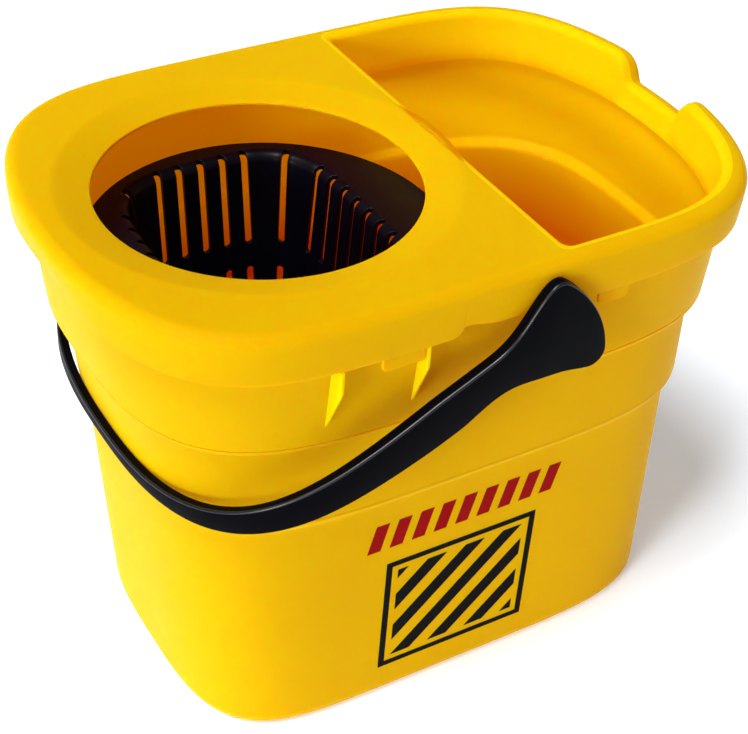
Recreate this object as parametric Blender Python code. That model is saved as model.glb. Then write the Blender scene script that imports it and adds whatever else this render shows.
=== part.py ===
"""Spin mop bucket: a tapered, stepped bucket with a push-fit top cover, a swinging
carry handle and a wringing basket that turns on a spindle inside the bucket.

+X points to the pouring end, the handle's arms run along X on both long sides,
+Z is up and the origin is the middle of the base, on the floor. Metres throughout.
"""

import math

import bmesh
import bpy

MM = 0.001
GAP = 0.35 * MM  # between pieces that touch in the real object
WELD = 0.0004 * MM

# Overall outline of the cover's crest
HEIGHT = 317.6 * MM
HALF_LENGTH = 200.0 * MM
HALF_WIDTH = 138.9 * MM
WALL = 2.8 * MM
FINE = 1440  # steps of an outline before its points are chosen
RING_POINTS = 60
BASKET_POINTS = 48
TURNED_POINTS = 24
SMALL_POINTS = 12
CREST_POWERS = (5.9, 2.0)  # end and side exponents of the crest's outline

# Bucket steps: (z, left x, right x, half width, end exponent, side exponent)
RIM_TOP = (311.0, -192.6, 193.6, 131.9, 5.9, 2.0)
TIER_1_HEAD = (293.5, -192.4, 193.5, 131.8, 5.9, 2.0)
TIER_1_TOP = (289.5, -189.5, 192.1, 129.7, 5.9, 2.0)
TIER_1_FOOT = (230.5, -180.6, 189.2, 123.8, 4.4, 3.0)
TIER_2_TOP = (226.6, -172.3, 183.6, 118.0, 4.4, 3.0)
TIER_2_FOOT = (169.5, -165.3, 184.8, 116.3, 4.4, 3.0)
BODY_TOP = (163.5, -161.4, 176.6, 107.9, 5.7, 3.2)
BODY_FOOT = (7.0, -148.6, 179.4, 103.1, 5.8, 3.3)
BASE_EDGE = (2.0, -146.4, 177.2, 100.9, 5.8, 3.3)
BASE = (0.0, -141.4, 172.2, 95.9, 5.8, 3.3)
FLOOR_THICKNESS = 3.2 * MM

# Ribs on the bucket's long sides, under the skirt
RIB_PLACES = (-99.0 * MM, -50.0 * MM)
RIB_HALF = 1.5 * MM
RIB_HEAD = 290.1 * MM
RIB_KNEE = 275.0 * MM
RIB_FOOT = 248.0 * MM
RIB_REACH = 137.4 * MM
RIB_ROOT_HEAD = 127.5 * MM
RIB_ROOT_FOOT = 126.2 * MM

# Top cover
SKIRT_FOOT = 290.5 * MM
SKIRT_DRAFT = 1.2 * MM
CREST_ROUND = 4.0 * MM
RIM_WIDTH = 13.0 * MM
LIP_FOOT = 287.0 * MM
LIP_DRAFT = 2.5 * MM
COMPARTMENT_CORNER = 6.0 * MM
COMPARTMENT_POINTS = 44
DECK_EDGE_X = 36.2 * MM
DISH_RADIUS = 108.3 * MM
DISH_DEPTH = 5.0 * MM
HOLE_RADIUS = 88.7 * MM
HOLE_X = -75.0 * MM  # the hole and its dish are not quite above the basket's axis
HOLE_EDGE = 1.6 * MM
NOTCH_FLOOR = 302.0 * MM
NOTCH_HALF_FLOOR = 23.0 * MM
NOTCH_HALF_TOP = 31.0 * MM

# Basket and its drive, all on one upright axis
AXIS_X = -69.0 * MM
FLANGE_RADIUS = 101.5 * MM
FLANGE_TOP = 274.2 * MM
BASKET_FLOOR = 160.0 * MM
MOUTH_HALF_X = 63.0 * MM
MOUTH_HALF_Y = 87.0 * MM
FLOOR_HALF_X = 56.0 * MM
FLOOR_HALF_Y = 74.0 * MM
BASKET_CORNER = 3.8
BASKET_WALL = 3.2 * MM
MOUTH_ROLL = 3.0 * MM
SLOT_WIDTH = 4.6 * MM
SIDE_SLOT_PITCH = 13.8 * MM
END_SLOT_PITCH = 13.2 * MM
UPPER_SLOTS = (219.5 * MM, 280.0 * MM)
LOWER_SLOTS = (172.0 * MM, 204.0 * MM)

SPINDLE_RADIUS = 4.0 * MM
SPINDLE_FOOT = 94.0 * MM
SPINDLE_TOP = 158.5 * MM
BEARING_RADIUS = 11.0 * MM
BEARING_WIDTH = 7.0 * MM
LOWER_BEARING_Z = 121.0 * MM
UPPER_BEARING_Z = 146.5 * MM
HUB_RADIUS = 15.0 * MM
HUB_FOOT = 119.0 * MM
HUB_FLANGE_RADIUS = 34.0 * MM
HUB_FLANGE_THICKNESS = 4.0 * MM
HUB_SCREW_CIRCLE = 26.0 * MM
PEDESTAL_TOP = 116.0 * MM
PEDESTAL_HEAD_FOOT = 103.5 * MM
WASHER_RADIUS = 9.0 * MM
WASHER_THICKNESS = 1.3 * MM
NUT_RADIUS = 7.5 * MM
NUT_TOP = 101.5 * MM
NUT_HEIGHT = 6.0 * MM
PEDESTAL_HEAD_RADIUS = 20.0 * MM
PEDESTAL_FOOT_RADIUS = 34.0 * MM
PEDESTAL_FLANGE_RADIUS = 48.0 * MM
PEDESTAL_SCREW_CIRCLE = 41.0 * MM
BOSS_HEIGHT = 12.0 * MM
BOSS_RADIUS = 5.2 * MM
SCREW_RADIUS = 1.9 * MM
SCREW_HEAD_RADIUS = 4.0 * MM
SCREWS = 4

# Carry handle: a band that wraps the bucket's left end, with a paddle on each arm
PIVOT_X = 17.5 * MM
PIVOT_Z = 302.5 * MM
PIN_RADIUS = 3.5 * MM
PIN_HEAD_RADIUS = 6.5 * MM
ARM_INNER_Y = 139.7 * MM
ARM_THICKNESS = 6.6 * MM
BAND_THICKNESS = 5.6 * MM
BAND_END_X = -167.4 * MM  # inner face of the band's middle
BAND_START_X = 22.0 * MM
BAND_START_Z = 276.2 * MM  # middle of the band, as seen from the side, at its start
BAND_FOOT_X = -170.0 * MM
BAND_DROP = 90.8 * MM
BAND_DROP_BEND = 6.8 * MM
BAND_HEIGHT_ARM = 29.4 * MM
BAND_HEIGHT_END = 7.0 * MM
BAND_TAPER = 120.0 * MM
BAND_TAPER_POWER = 0.64
BAND_POWERS = (5.9, 2.55)  # end and side exponents of its plan
BAND_BEVEL = 1.6 * MM
CROWN_X = 23.5 * MM
CROWN_Z = 312.0 * MM
PADDLE_LEVEL_Z = 248.5 * MM
PADDLE_TIP_X = 57.0 * MM
PADDLE_FALL = 50.0 * MM


# ---------------------------------------------------------------- materials

def material(name, colour, roughness, metallic=0.0):
    made = bpy.data.materials.new(name)
    made.use_nodes = True
    shader = made.node_tree.nodes["Principled BSDF"]
    shader.inputs["Base Color"].default_value = (*colour, 1.0)
    shader.inputs["Roughness"].default_value = roughness
    shader.inputs["Metallic"].default_value = metallic
    made.diffuse_color = (*colour, 1.0)
    return made


# ---------------------------------------------------------------- outlines

def superellipse_point(turn, left, right, half_width, end_power, side_power):
    """A point at the given fraction of a turn, starting on +X; the two ends may differ."""
    angle = 2 * math.pi * turn
    c, s = math.cos(angle), math.sin(angle)
    reach = right if c >= 0 else -left
    x = math.copysign(reach * abs(c) ** (2 / end_power), c)
    y = math.copysign(half_width * abs(s) ** (2 / side_power), s)
    return x, y


def spaced(path, count):
    """Even parts of a fine path without its end, shorter where it bends more."""
    steps = [math.dist(a, b) for a, b in zip(path, path[1:])]
    length = sum(steps)
    headings = [math.atan2(b[1] - a[1], b[0] - a[0]) for a, b in zip(path, path[1:])]
    weights = []
    for i, step in enumerate(steps):
        bend = abs(math.remainder(headings[i] - headings[max(i - 1, 0)], 2 * math.pi))
        weights.append(step / length + bend / (2 * math.pi))
    total = sum(weights)
    chosen, passed, i = [], 0.0, 0
    for k in range(count):
        target = k * total / count
        while passed + weights[i] < target:
            passed += weights[i]
            i += 1
        share = (target - passed) / weights[i]
        (ax, ay), (bx, by) = path[i], path[i + 1]
        chosen.append((ax + share * (bx - ax), ay + share * (by - ay)))
    return chosen


def outline(left, right, half_width, end_power, side_power, count=RING_POINTS):
    """Points round the whole outline."""
    return spaced([
        superellipse_point(i / FINE, left, right, half_width, end_power, side_power)
        for i in range(FINE + 1)
    ], count)


def step_ring(step, inset=0.0, lift=0.0):
    """One ring of the bucket from a step in millimetres, moved inwards and up."""
    z, left, right, half_width, end_power, side_power = step
    plan = outline(
        left * MM + inset, right * MM - inset, half_width * MM - inset, end_power, side_power
    )
    return [(x, y, z * MM + lift) for x, y in plan]


def crest_ring(inset, z):
    """A ring of the top cover, parallel to its crest."""
    plan = outline(
        -HALF_LENGTH + inset, HALF_LENGTH - inset, HALF_WIDTH - inset, *CREST_POWERS
    )
    return [(x, y, z) for x, y in plan]


def basket_ring(half_x, half_y, power, z, count=BASKET_POINTS):
    """A ring of the basket at even bearings, so that circles and rounded squares match."""
    ring = []
    for k in range(count):
        angle = 2 * math.pi * k / count
        c, s = math.cos(angle), math.sin(angle)
        radius = (abs(c / half_x) ** power + abs(s / half_y) ** power) ** (-1 / power)
        ring.append((AXIS_X + radius * c, radius * s, z))
    return ring


# ---------------------------------------------------------------- solids

def finished(name, bm, look, origin=(0.0, 0.0, 0.0), smooth=True):
    """The bmesh as an object whose origin is at the given point."""
    bmesh.ops.recalc_face_normals(bm, faces=bm.faces)
    bmesh.ops.translate(bm, verts=bm.verts, vec=[-v for v in origin])
    mesh = bpy.data.meshes.new(name)
    bm.to_mesh(mesh)
    bm.free()
    if look is not None:
        mesh.materials.append(look)
    if smooth:
        mesh.shade_smooth()
        mesh.set_sharp_from_angle(angle=math.radians(35))
    made = bpy.data.objects.new(name, mesh)
    made.location = origin
    bpy.context.scene.collection.objects.link(made)
    return made


def add_rings(bm, rings, closed):
    """Skins a stack of rings; a closed stack joins its last ring to its first."""
    rows = [[bm.verts.new(point) for point in ring] for ring in rings]
    pairs = list(zip(rows, rows[1:])) + ([(rows[-1], rows[0])] if closed else [])
    for low, high in pairs:
        count = len(low)
        for k in range(count):
            n = (k + 1) % count
            bm.faces.new((low[k], low[n], high[n], high[k]))
    if not closed:
        bm.faces.new(rows[0][::-1])
        bm.faces.new(rows[-1])


def ring_solid(name, rings, look, closed=False, origin=(0.0, 0.0, 0.0)):
    bm = bmesh.new()
    add_rings(bm, rings, closed)
    return finished(name, bm, look, origin)


def turned(name, profile, look, x=AXIS_X, y=0.0, count=TURNED_POINTS, closed=True, axis="Z"):
    """A turned solid from (radius, height) points; an open profile ends on its axis."""
    rings = []
    for radius, height in profile:
        ring = []
        for k in range(count):
            angle = 2 * math.pi * k / count
            c, s = radius * math.cos(angle), radius * math.sin(angle)
            ring.append((x + c, y + s, height) if axis == "Z" else (x + c, height, y + s))
        rings.append(ring)
    return ring_solid(name, rings, look, closed)


def prism(name, points, low, high, look, axis="Z"):
    """A polygon extruded along an axis: (x, y) along Z, or (x, z) along Y, or (y, z) along X."""
    place = {
        "Z": lambda p, h: (p[0], p[1], h),
        "Y": lambda p, h: (p[0], h, p[1]),
        "X": lambda p, h: (h, p[0], p[1]),
    }[axis]
    bm = bmesh.new()
    add_rings(bm, [[place(p, low) for p in points], [place(p, high) for p in points]], False)
    return finished(name, bm, look, smooth=False)


def block(name, low, high, look=None):
    (x0, y0, z0), (x1, y1, z1) = low, high
    return prism(name, [(x0, y0), (x1, y0), (x1, y1), (x0, y1)], z0, z1, look)


def welded(mesh):
    """The mesh with points that a Boolean left on top of each other made one."""
    bm = bmesh.new()
    bm.from_mesh(mesh)
    bmesh.ops.remove_doubles(bm, verts=bm.verts, dist=WELD)
    bmesh.ops.dissolve_degenerate(bm, edges=bm.edges, dist=WELD)
    bm.to_mesh(mesh)
    bm.free()
    return mesh


def combine(target, others, operation):
    """Joins or cuts the target with each of the others, and removes them."""
    for other in others:
        step = target.modifiers.new("step", "BOOLEAN")
        step.operation = operation
        step.solver = "EXACT"
        step.object = other
        graph = bpy.context.evaluated_depsgraph_get()
        mesh = bpy.data.meshes.new_from_object(target.evaluated_get(graph))
        target.modifiers.clear()
        target.data = welded(mesh)
        bpy.data.objects.remove(other)
    target.data.shade_smooth()
    target.data.set_sharp_from_angle(angle=math.radians(35))
    return target


def join_with(target, *others):
    return combine(target, others, "UNION")


def cut_with(target, *others):
    return combine(target, others, "DIFFERENCE")


# ---------------------------------------------------------------- bucket

def screw_places(circle_radius):
    """(x, y) of the screws round the basket's axis."""
    for k in range(SCREWS):
        angle = math.pi / 4 + 2 * math.pi * k / SCREWS
        yield AXIS_X + circle_radius * math.cos(angle), circle_radius * math.sin(angle)


def make_bucket(look):
    outer = [step_ring(step) for step in (
        BASE, BASE_EDGE, BODY_FOOT, BODY_TOP, TIER_2_FOOT, TIER_2_TOP,
        TIER_1_FOOT, TIER_1_TOP, TIER_1_HEAD, RIM_TOP,
    )]
    ledge = 1.6 * MM  # the inside of each step sits a little higher than the outside
    inner = [step_ring(step, WALL, lift) for step, lift in (
        (RIM_TOP, 0), (TIER_1_HEAD, 0), (TIER_1_TOP, 0), (TIER_1_FOOT, ledge),
        (TIER_2_TOP, ledge), (TIER_2_FOOT, ledge), (BODY_TOP, ledge), (BODY_FOOT, ledge),
    )]
    inner.append(step_ring(BASE, WALL, FLOOR_THICKNESS))
    bucket = ring_solid("bucket_body", outer + inner, look)

    # The rim is cut down under the pouring notch.
    notch_top = NOTCH_HALF_TOP + WALL + GAP
    cut_with(bucket, block(
        "notch_cut",
        (0.14, -notch_top, NOTCH_FLOOR - WALL - 2 * GAP), (0.21, notch_top, HEIGHT),
    ))

    # Ribs under the skirt, two on each long side
    for side in (-1, 1):
        for x in RIB_PLACES:
            rib = [
                (side * RIB_ROOT_HEAD, RIB_FOOT), (side * RIB_ROOT_HEAD, RIB_HEAD),
                (side * RIB_REACH, RIB_HEAD), (side * RIB_REACH, RIB_KNEE),
                (side * RIB_ROOT_FOOT, RIB_FOOT),
            ]
            join_with(bucket, prism("rib", rib, x - RIB_HALF, x + RIB_HALF, look, "X"))

    # Blind screw bosses on the floor
    for x, y in screw_places(PEDESTAL_SCREW_CIRCLE):
        boss = turned(
            "boss",
            ((BOSS_RADIUS, 1 * MM), (BOSS_RADIUS, BOSS_HEIGHT), (SCREW_RADIUS + GAP, BOSS_HEIGHT),
             (SCREW_RADIUS + GAP, FLOOR_THICKNESS)),
            look, x, y, SMALL_POINTS, False,
        )
        join_with(bucket, boss)
    return bucket


# ---------------------------------------------------------------- top cover

def notch_cutter(name, grow):
    """The pouring notch as a prism through the rim's right end, wider at its top."""
    floor = NOTCH_FLOOR - grow
    low, high = NOTCH_HALF_FLOOR + grow, NOTCH_HALF_TOP + grow
    curve = [(low, floor), (low + 2 * MM, floor + 1.5 * MM), (high - 2 * MM, 314 * MM)]
    curve.append((high + 5 * MM, HEIGHT + 2 * MM))
    points = [(-y, z) for y, z in reversed(curve)] + curve
    return prism(name, points, HALF_LENGTH - 50 * MM, HALF_LENGTH + 20 * MM, None, "X")


def compartment_ring(inset, z):
    """A ring of the open right-hand compartment: the rim's inner outline, cut at the deck's edge."""
    edge = DECK_EDGE_X - (RIM_WIDTH - inset)
    corner, side = COMPARTMENT_CORNER, HALF_WIDTH - inset
    right = HALF_LENGTH - inset
    bow = [superellipse_point(i / FINE, -right, right, side, *CREST_POWERS)
           for i in range(-FINE // 4, FINE // 4 + 1)]
    bow = [p for p in bow if p[0] > edge + 2 * corner]
    turns = [math.pi / 2 * k / 4 for k in range(5)]
    above = [
        (edge + corner - corner * math.sin(t), side - corner + corner * math.cos(t)) for t in turns
    ]
    below = [(x, -y) for x, y in reversed(above)]
    return [(x, y, z) for x, y in spaced(bow, COMPARTMENT_POINTS) + above + below]


def make_cover(look):
    cover = ring_solid("top_cover", [
        crest_ring(SKIRT_DRAFT, SKIRT_FOOT),
        crest_ring(0.2 * MM, HEIGHT - 9 * MM),
        crest_ring(0.0, HEIGHT - CREST_ROUND),
        crest_ring(0.3 * CREST_ROUND, HEIGHT - 0.3 * CREST_ROUND),
        crest_ring(CREST_ROUND, HEIGHT),
    ], look)

    # Tabs that hang below the skirt on both long sides: (x from, x to, foot)
    tabs = ((-76.5, -52.1, 281.3), (54, 72, 281.6))
    for side in (-1, 1):
        for start, end, foot in tabs:
            y0, y1 = sorted((side * 137.4 * MM, side * 135.0 * MM))
            join_with(cover, block(
                "tab", (start * MM, y0, foot * MM), (end * MM, y1, SKIRT_FOOT + 2 * MM),
            ))

    # The hollow underneath, which keeps a wall's thickness below the notch
    hollow = ring_solid("hollow", [
        crest_ring(SKIRT_DRAFT + WALL, 270 * MM),
        crest_ring(SKIRT_DRAFT + WALL, SKIRT_FOOT),
        crest_ring(WALL, HEIGHT - WALL),
    ], None)
    cut_with(hollow, notch_cutter("notch_wall", WALL))
    cut_with(cover, hollow)
    join_with(cover, ring_solid("lip", [
        compartment_ring(RIM_WIDTH - WALL + LIP_DRAFT, LIP_FOOT),
        compartment_ring(RIM_WIDTH - WALL, HEIGHT - WALL / 2),
    ], look))
    cut_with(cover, ring_solid("opening", [
        compartment_ring(RIM_WIDTH + LIP_DRAFT, LIP_FOOT - 10 * MM),
        compartment_ring(RIM_WIDTH + LIP_DRAFT, LIP_FOOT),
        compartment_ring(RIM_WIDTH, HEIGHT - CREST_ROUND),
        compartment_ring(RIM_WIDTH, HEIGHT + 10 * MM),
    ], None))
    cut_with(cover, notch_cutter("notch", 0.0))

    # Dished ring round the basket's hole
    rim_round = 0.4 * MM
    slope = DISH_DEPTH / (DISH_RADIUS - HOLE_RADIUS)
    cut_with(cover, turned(
        "dish_cut", ((HOLE_RADIUS + 2 * MM, SKIRT_FOOT), (HOLE_RADIUS + 2 * MM, HEIGHT - DISH_DEPTH),
                     (DISH_RADIUS + 3 * MM, HEIGHT + 3 * slope * MM)),
        None, HOLE_X, count=72, closed=False,
    ))
    dish = turned("dish", (
        (HOLE_RADIUS + rim_round, HEIGHT - DISH_DEPTH),
        (HOLE_RADIUS, HEIGHT - DISH_DEPTH - rim_round),
        (HOLE_RADIUS, HEIGHT - DISH_DEPTH - HOLE_EDGE),
        (HOLE_RADIUS + HOLE_EDGE, HEIGHT - DISH_DEPTH - WALL),
        (DISH_RADIUS + 1 * MM, HEIGHT - WALL - 1.4 * MM),
        (DISH_RADIUS + 3 * MM, HEIGHT - 1.2 * MM),
        (DISH_RADIUS - 2.5 * MM, HEIGHT - 1.4 * MM),
    ), look, HOLE_X, count=72)
    join_with(cover, dish)

    # Holes for the handle's pins
    for side in (-1, 1):
        y0, y1 = sorted((side * (HALF_WIDTH + 10 * MM), side * (HALF_WIDTH - 5 * MM)))
        cut_with(cover, turned(
            "pin_hole", ((PIN_RADIUS + GAP, y0), (PIN_RADIUS + GAP, y1)),
            None, PIVOT_X, PIVOT_Z, 24, False, "Y",
        ))
    return cover


# ---------------------------------------------------------------- basket

def slot_blocks():
    """Cutters for the slots in the basket's four walls and corners, upper and lower rows."""
    half = SLOT_WIDTH / 2
    for low, high in (UPPER_SLOTS, LOWER_SLOTS):
        for k in range(-2, 3):
            x = AXIS_X + k * SIDE_SLOT_PITCH
            for side in (-1, 1):
                y0, y1 = sorted((side * 70 * MM, side * (MOUTH_HALF_Y + 3.5 * MM)))
                yield (x - half, y0, low), (x + half, y1, high)
        for k in range(-4, 5):
            y = k * END_SLOT_PITCH
            for side in (-1, 1):
                x0, x1 = sorted((AXIS_X + side * 44 * MM, AXIS_X + side * (MOUTH_HALF_X + 3.5 * MM)))
                yield (x0, y - half, low), (x1, y + half, high)


def make_basket(look):
    def wall(share, inset, z):
        half_x = FLOOR_HALF_X + share * (MOUTH_HALF_X - FLOOR_HALF_X) - inset
        half_y = FLOOR_HALF_Y + share * (MOUTH_HALF_Y - FLOOR_HALF_Y) - inset
        return basket_ring(half_x, half_y, BASKET_CORNER, z)

    flange_foot = FLANGE_TOP - BASKET_WALL
    bore = SPINDLE_RADIUS + 5 * MM
    rings = [
        basket_ring(FLANGE_RADIUS, FLANGE_RADIUS, 2, FLANGE_TOP - 1 * MM),
        basket_ring(FLANGE_RADIUS - 1 * MM, FLANGE_RADIUS - 1 * MM, 2, FLANGE_TOP),
        wall(1, -MOUTH_ROLL, FLANGE_TOP),
        wall(1, -0.3 * MOUTH_ROLL, FLANGE_TOP - 0.3 * MOUTH_ROLL),
        wall(1, 0, FLANGE_TOP - MOUTH_ROLL),
        wall(0.03, 0, BASKET_FLOOR + 6 * MM),
        wall(0, 4 * MM, BASKET_FLOOR),
        basket_ring(bore, bore, 2, BASKET_FLOOR),
        basket_ring(bore, bore, 2, BASKET_FLOOR - BASKET_WALL),
        wall(0, 3 * MM - BASKET_WALL, BASKET_FLOOR - BASKET_WALL),
        wall(0.03, -BASKET_WALL, BASKET_FLOOR + 4 * MM),
        wall(1, -BASKET_WALL, flange_foot - MOUTH_ROLL),
        wall(1, -MOUTH_ROLL - BASKET_WALL, flange_foot),
        basket_ring(FLANGE_RADIUS - 1 * MM, FLANGE_RADIUS - 1 * MM, 2, flange_foot),
        basket_ring(FLANGE_RADIUS, FLANGE_RADIUS, 2, flange_foot + 0.6 * MM),
    ]
    basket = ring_solid("spin_basket", rings, look, True)
    bm = bmesh.new()
    for low, high in slot_blocks():
        corners = [(low[0], low[1]), (high[0], low[1]), (high[0], high[1]), (low[0], high[1])]
        add_rings(bm, [[(*c, low[2]) for c in corners], [(*c, high[2]) for c in corners]], False)
    cut_with(basket, finished("slots", bm, None, smooth=False))
    for x, y in screw_places(HUB_SCREW_CIRCLE):
        cut_with(basket, turned(
            "screw_hole", ((SCREW_RADIUS + GAP, BASKET_FLOOR - 10 * MM),
                           (SCREW_RADIUS + GAP, BASKET_FLOOR + 10 * MM)),
            None, x, y, SMALL_POINTS, False,
        ))
    set_origin(basket, (AXIS_X, 0.0, 0.0))
    return basket


def set_origin(obj, point):
    """Moves an object's origin to a point, leaving its surface where it is."""
    shift = [a - b for a, b in zip(obj.location, point)]
    for vertex in obj.data.vertices:
        vertex.co = [c + s for c, s in zip(vertex.co, shift)]
    obj.location = point


# ---------------------------------------------------------------- drive

def make_hub(look):
    """Boss under the basket that holds both bearings."""
    top = BASKET_FLOOR - BASKET_WALL - GAP
    pocket = BEARING_RADIUS + GAP
    shoulder = SPINDLE_RADIUS + 3.2 * MM
    foot_of_upper = UPPER_BEARING_Z - GAP
    head_of_lower = LOWER_BEARING_Z + BEARING_WIDTH + GAP
    hub = turned("basket_hub", (
        (HUB_RADIUS, HUB_FOOT), (HUB_RADIUS, top - HUB_FLANGE_THICKNESS - 3 * MM),
        (HUB_RADIUS + 3 * MM, top - HUB_FLANGE_THICKNESS),
        (HUB_FLANGE_RADIUS, top - HUB_FLANGE_THICKNESS), (HUB_FLANGE_RADIUS, top),
        (pocket, top), (pocket, foot_of_upper), (shoulder, foot_of_upper),
        (shoulder, head_of_lower), (pocket, head_of_lower), (pocket, HUB_FOOT),
    ), look)
    for x, y in screw_places(HUB_SCREW_CIRCLE):
        boss = turned(
            "boss", ((BOSS_RADIUS, top - 9 * MM), (BOSS_RADIUS, top - 2 * MM)),
            look, x, y, SMALL_POINTS, False,
        )
        join_with(hub, boss)
        hole_foot = top - 8 * MM
        cut_with(hub, turned(
            "hole", ((SCREW_RADIUS + GAP, hole_foot), (SCREW_RADIUS + GAP, top + 1 * MM)),
            None, x, y, SMALL_POINTS, False,
        ))
    return hub


def make_bearing(name, foot, look):
    """A ball bearing with a groove between its races on both faces."""
    bore = SPINDLE_RADIUS + GAP
    top = foot + BEARING_WIDTH
    groove = 0.8 * MM
    inner_race, outer_race = bore + 2 * MM, BEARING_RADIUS - 2 * MM
    return turned(name, (
        (bore, foot), (bore, top), (inner_race, top), (inner_race, top - groove),
        (outer_race, top - groove), (outer_race, top), (BEARING_RADIUS, top),
        (BEARING_RADIUS, foot), (outer_race, foot), (outer_race, foot + groove),
        (inner_race, foot + groove), (inner_race, foot),
    ), look)


def make_spindle(look):
    """Steel spindle with a collar that stands on the pedestal and a groove for the circlip."""
    groove = UPPER_BEARING_Z + BEARING_WIDTH + 0.6 * MM
    collar = 7.0 * MM
    return turned("spindle", (
        (SPINDLE_RADIUS - 0.8 * MM, SPINDLE_FOOT), (SPINDLE_RADIUS, SPINDLE_FOOT + 0.8 * MM),
        (SPINDLE_RADIUS, PEDESTAL_TOP + GAP), (collar, PEDESTAL_TOP + GAP),
        (collar, PEDESTAL_TOP + 2 * MM), (SPINDLE_RADIUS, PEDESTAL_TOP + 2 * MM),
        (SPINDLE_RADIUS, groove), (SPINDLE_RADIUS - 0.6 * MM, groove),
        (SPINDLE_RADIUS - 0.6 * MM, groove + 1.4 * MM), (SPINDLE_RADIUS, groove + 1.4 * MM),
        (SPINDLE_RADIUS, SPINDLE_TOP - 1 * MM), (SPINDLE_RADIUS - 1 * MM, SPINDLE_TOP),
    ), look, closed=False)


def make_circlip(look):
    """Open spring ring in the spindle's groove, above the upper bearing."""
    foot = UPPER_BEARING_Z + BEARING_WIDTH + 0.9 * MM
    inner, outer = SPINDLE_RADIUS - 0.3 * MM, SPINDLE_RADIUS + 2.2 * MM
    ends = math.radians(28)
    count = 24
    arc = [ends + (2 * math.pi - 2 * ends) * k / count for k in range(count + 1)]
    points = [(AXIS_X + outer * math.cos(t), outer * math.sin(t)) for t in arc]
    points += [(AXIS_X + inner * math.cos(t), inner * math.sin(t)) for t in reversed(arc)]
    return prism("spindle_circlip", points, foot, foot + 0.9 * MM, look)


def make_sleeve(name, bore, radius, foot, top, look, count=TURNED_POINTS):
    return turned(name, ((bore, foot), (bore, top), (radius, top), (radius, foot)), look, count=count)


def make_nut(look):
    """Hexagon nut on the spindle's lower end, under the pedestal's head."""
    nut = make_sleeve(
        "spindle_nut", SPINDLE_RADIUS + GAP, NUT_RADIUS, NUT_TOP - NUT_HEIGHT, NUT_TOP, look, 6,
    )
    bore = turned("bore", (
        (SPINDLE_RADIUS + GAP, NUT_TOP - 2 * NUT_HEIGHT), (SPINDLE_RADIUS + GAP, NUT_TOP + NUT_HEIGHT),
    ), None, closed=False)
    return cut_with(nut, bore)


def make_pedestal(look):
    """Hollow column on the bucket's floor bosses; the spindle's nut sits inside its head."""
    foot = BOSS_HEIGHT + GAP
    thickness = 3.0 * MM
    pedestal = turned("pedestal", (
        (PEDESTAL_FLANGE_RADIUS, foot), (PEDESTAL_FLANGE_RADIUS, foot + thickness),
        (PEDESTAL_FOOT_RADIUS, foot + thickness), (PEDESTAL_HEAD_RADIUS, PEDESTAL_TOP - 12 * MM),
        (PEDESTAL_HEAD_RADIUS, PEDESTAL_TOP), (SPINDLE_RADIUS + GAP, PEDESTAL_TOP),
        (SPINDLE_RADIUS + GAP, PEDESTAL_HEAD_FOOT),
        (PEDESTAL_HEAD_RADIUS - thickness, PEDESTAL_HEAD_FOOT),
        (PEDESTAL_FOOT_RADIUS - thickness, foot),
    ), look)
    for x, y in screw_places(PEDESTAL_SCREW_CIRCLE):
        cut_with(pedestal, turned(
            "hole", ((SCREW_RADIUS + GAP, foot - 1 * MM), (SCREW_RADIUS + GAP, foot + 5 * MM)),
            None, x, y, SMALL_POINTS, False,
        ))
    # Drain slots, so that no water stays inside the column
    for k in range(SCREWS):
        angle = math.pi / 2 * k
        reach = PEDESTAL_FOOT_RADIUS
        cx, cy = AXIS_X + reach * math.cos(angle), reach * math.sin(angle)
        half = 5 * MM
        cut_with(pedestal, block(
            "drain", (cx - half, cy - half, foot + 6 * MM), (cx + half, cy + half, foot + 22 * MM),
        ))
    return pedestal


def make_screw(name, x, y, seat, length, look):
    """Round-headed screw whose head stands on the seat."""
    seat = seat + GAP
    return turned(name, (
        (0.4 * MM, seat - length), (SCREW_RADIUS, seat - length + 2.5 * MM), (SCREW_RADIUS, seat),
        (SCREW_HEAD_RADIUS, seat), (SCREW_HEAD_RADIUS, seat + 1.2 * MM),
        (0.7 * SCREW_HEAD_RADIUS, seat + 2.4 * MM),
    ), look, x, y, SMALL_POINTS, False)


def make_hub_cap(look):
    """Snap-in cap over the hub, on the basket's floor."""
    seat = BASKET_FLOOR + GAP
    radius = HUB_RADIUS
    plug = SPINDLE_RADIUS + 4.4 * MM
    return turned("hub_cap", (
        (plug - 1.4 * MM, seat + 2.2 * MM), (plug - 1.4 * MM, seat - 1.2 * MM),
        (plug, seat - 1.2 * MM), (plug, seat), (radius, seat), (radius, seat + 1.5 * MM),
        (0.72 * radius, seat + 5 * MM), (0.3 * radius, seat + 6.4 * MM),
    ), look, closed=False)


# ---------------------------------------------------------------- handle

def band_centre_z(x):
    """Height of the middle of the handle's band, seen from the side."""
    share = (BAND_START_X - x) / (BAND_START_X - BAND_FOOT_X)
    return BAND_START_Z - BAND_DROP * share - BAND_DROP_BEND * share * share


def band_height(x):
    """Upright height of the band: tall along the arms, slimmer round the bucket's end."""
    share = min(max((x - BAND_END_X) / BAND_TAPER, 0.0), 1.0)
    return BAND_HEIGHT_END + (BAND_HEIGHT_ARM - BAND_HEIGHT_END) * share ** BAND_TAPER_POWER


def smooth_step(low, high, value):
    share = min(max((value - low) / (high - low), 0.0), 1.0)
    return share * share * (3 - 2 * share)


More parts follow.
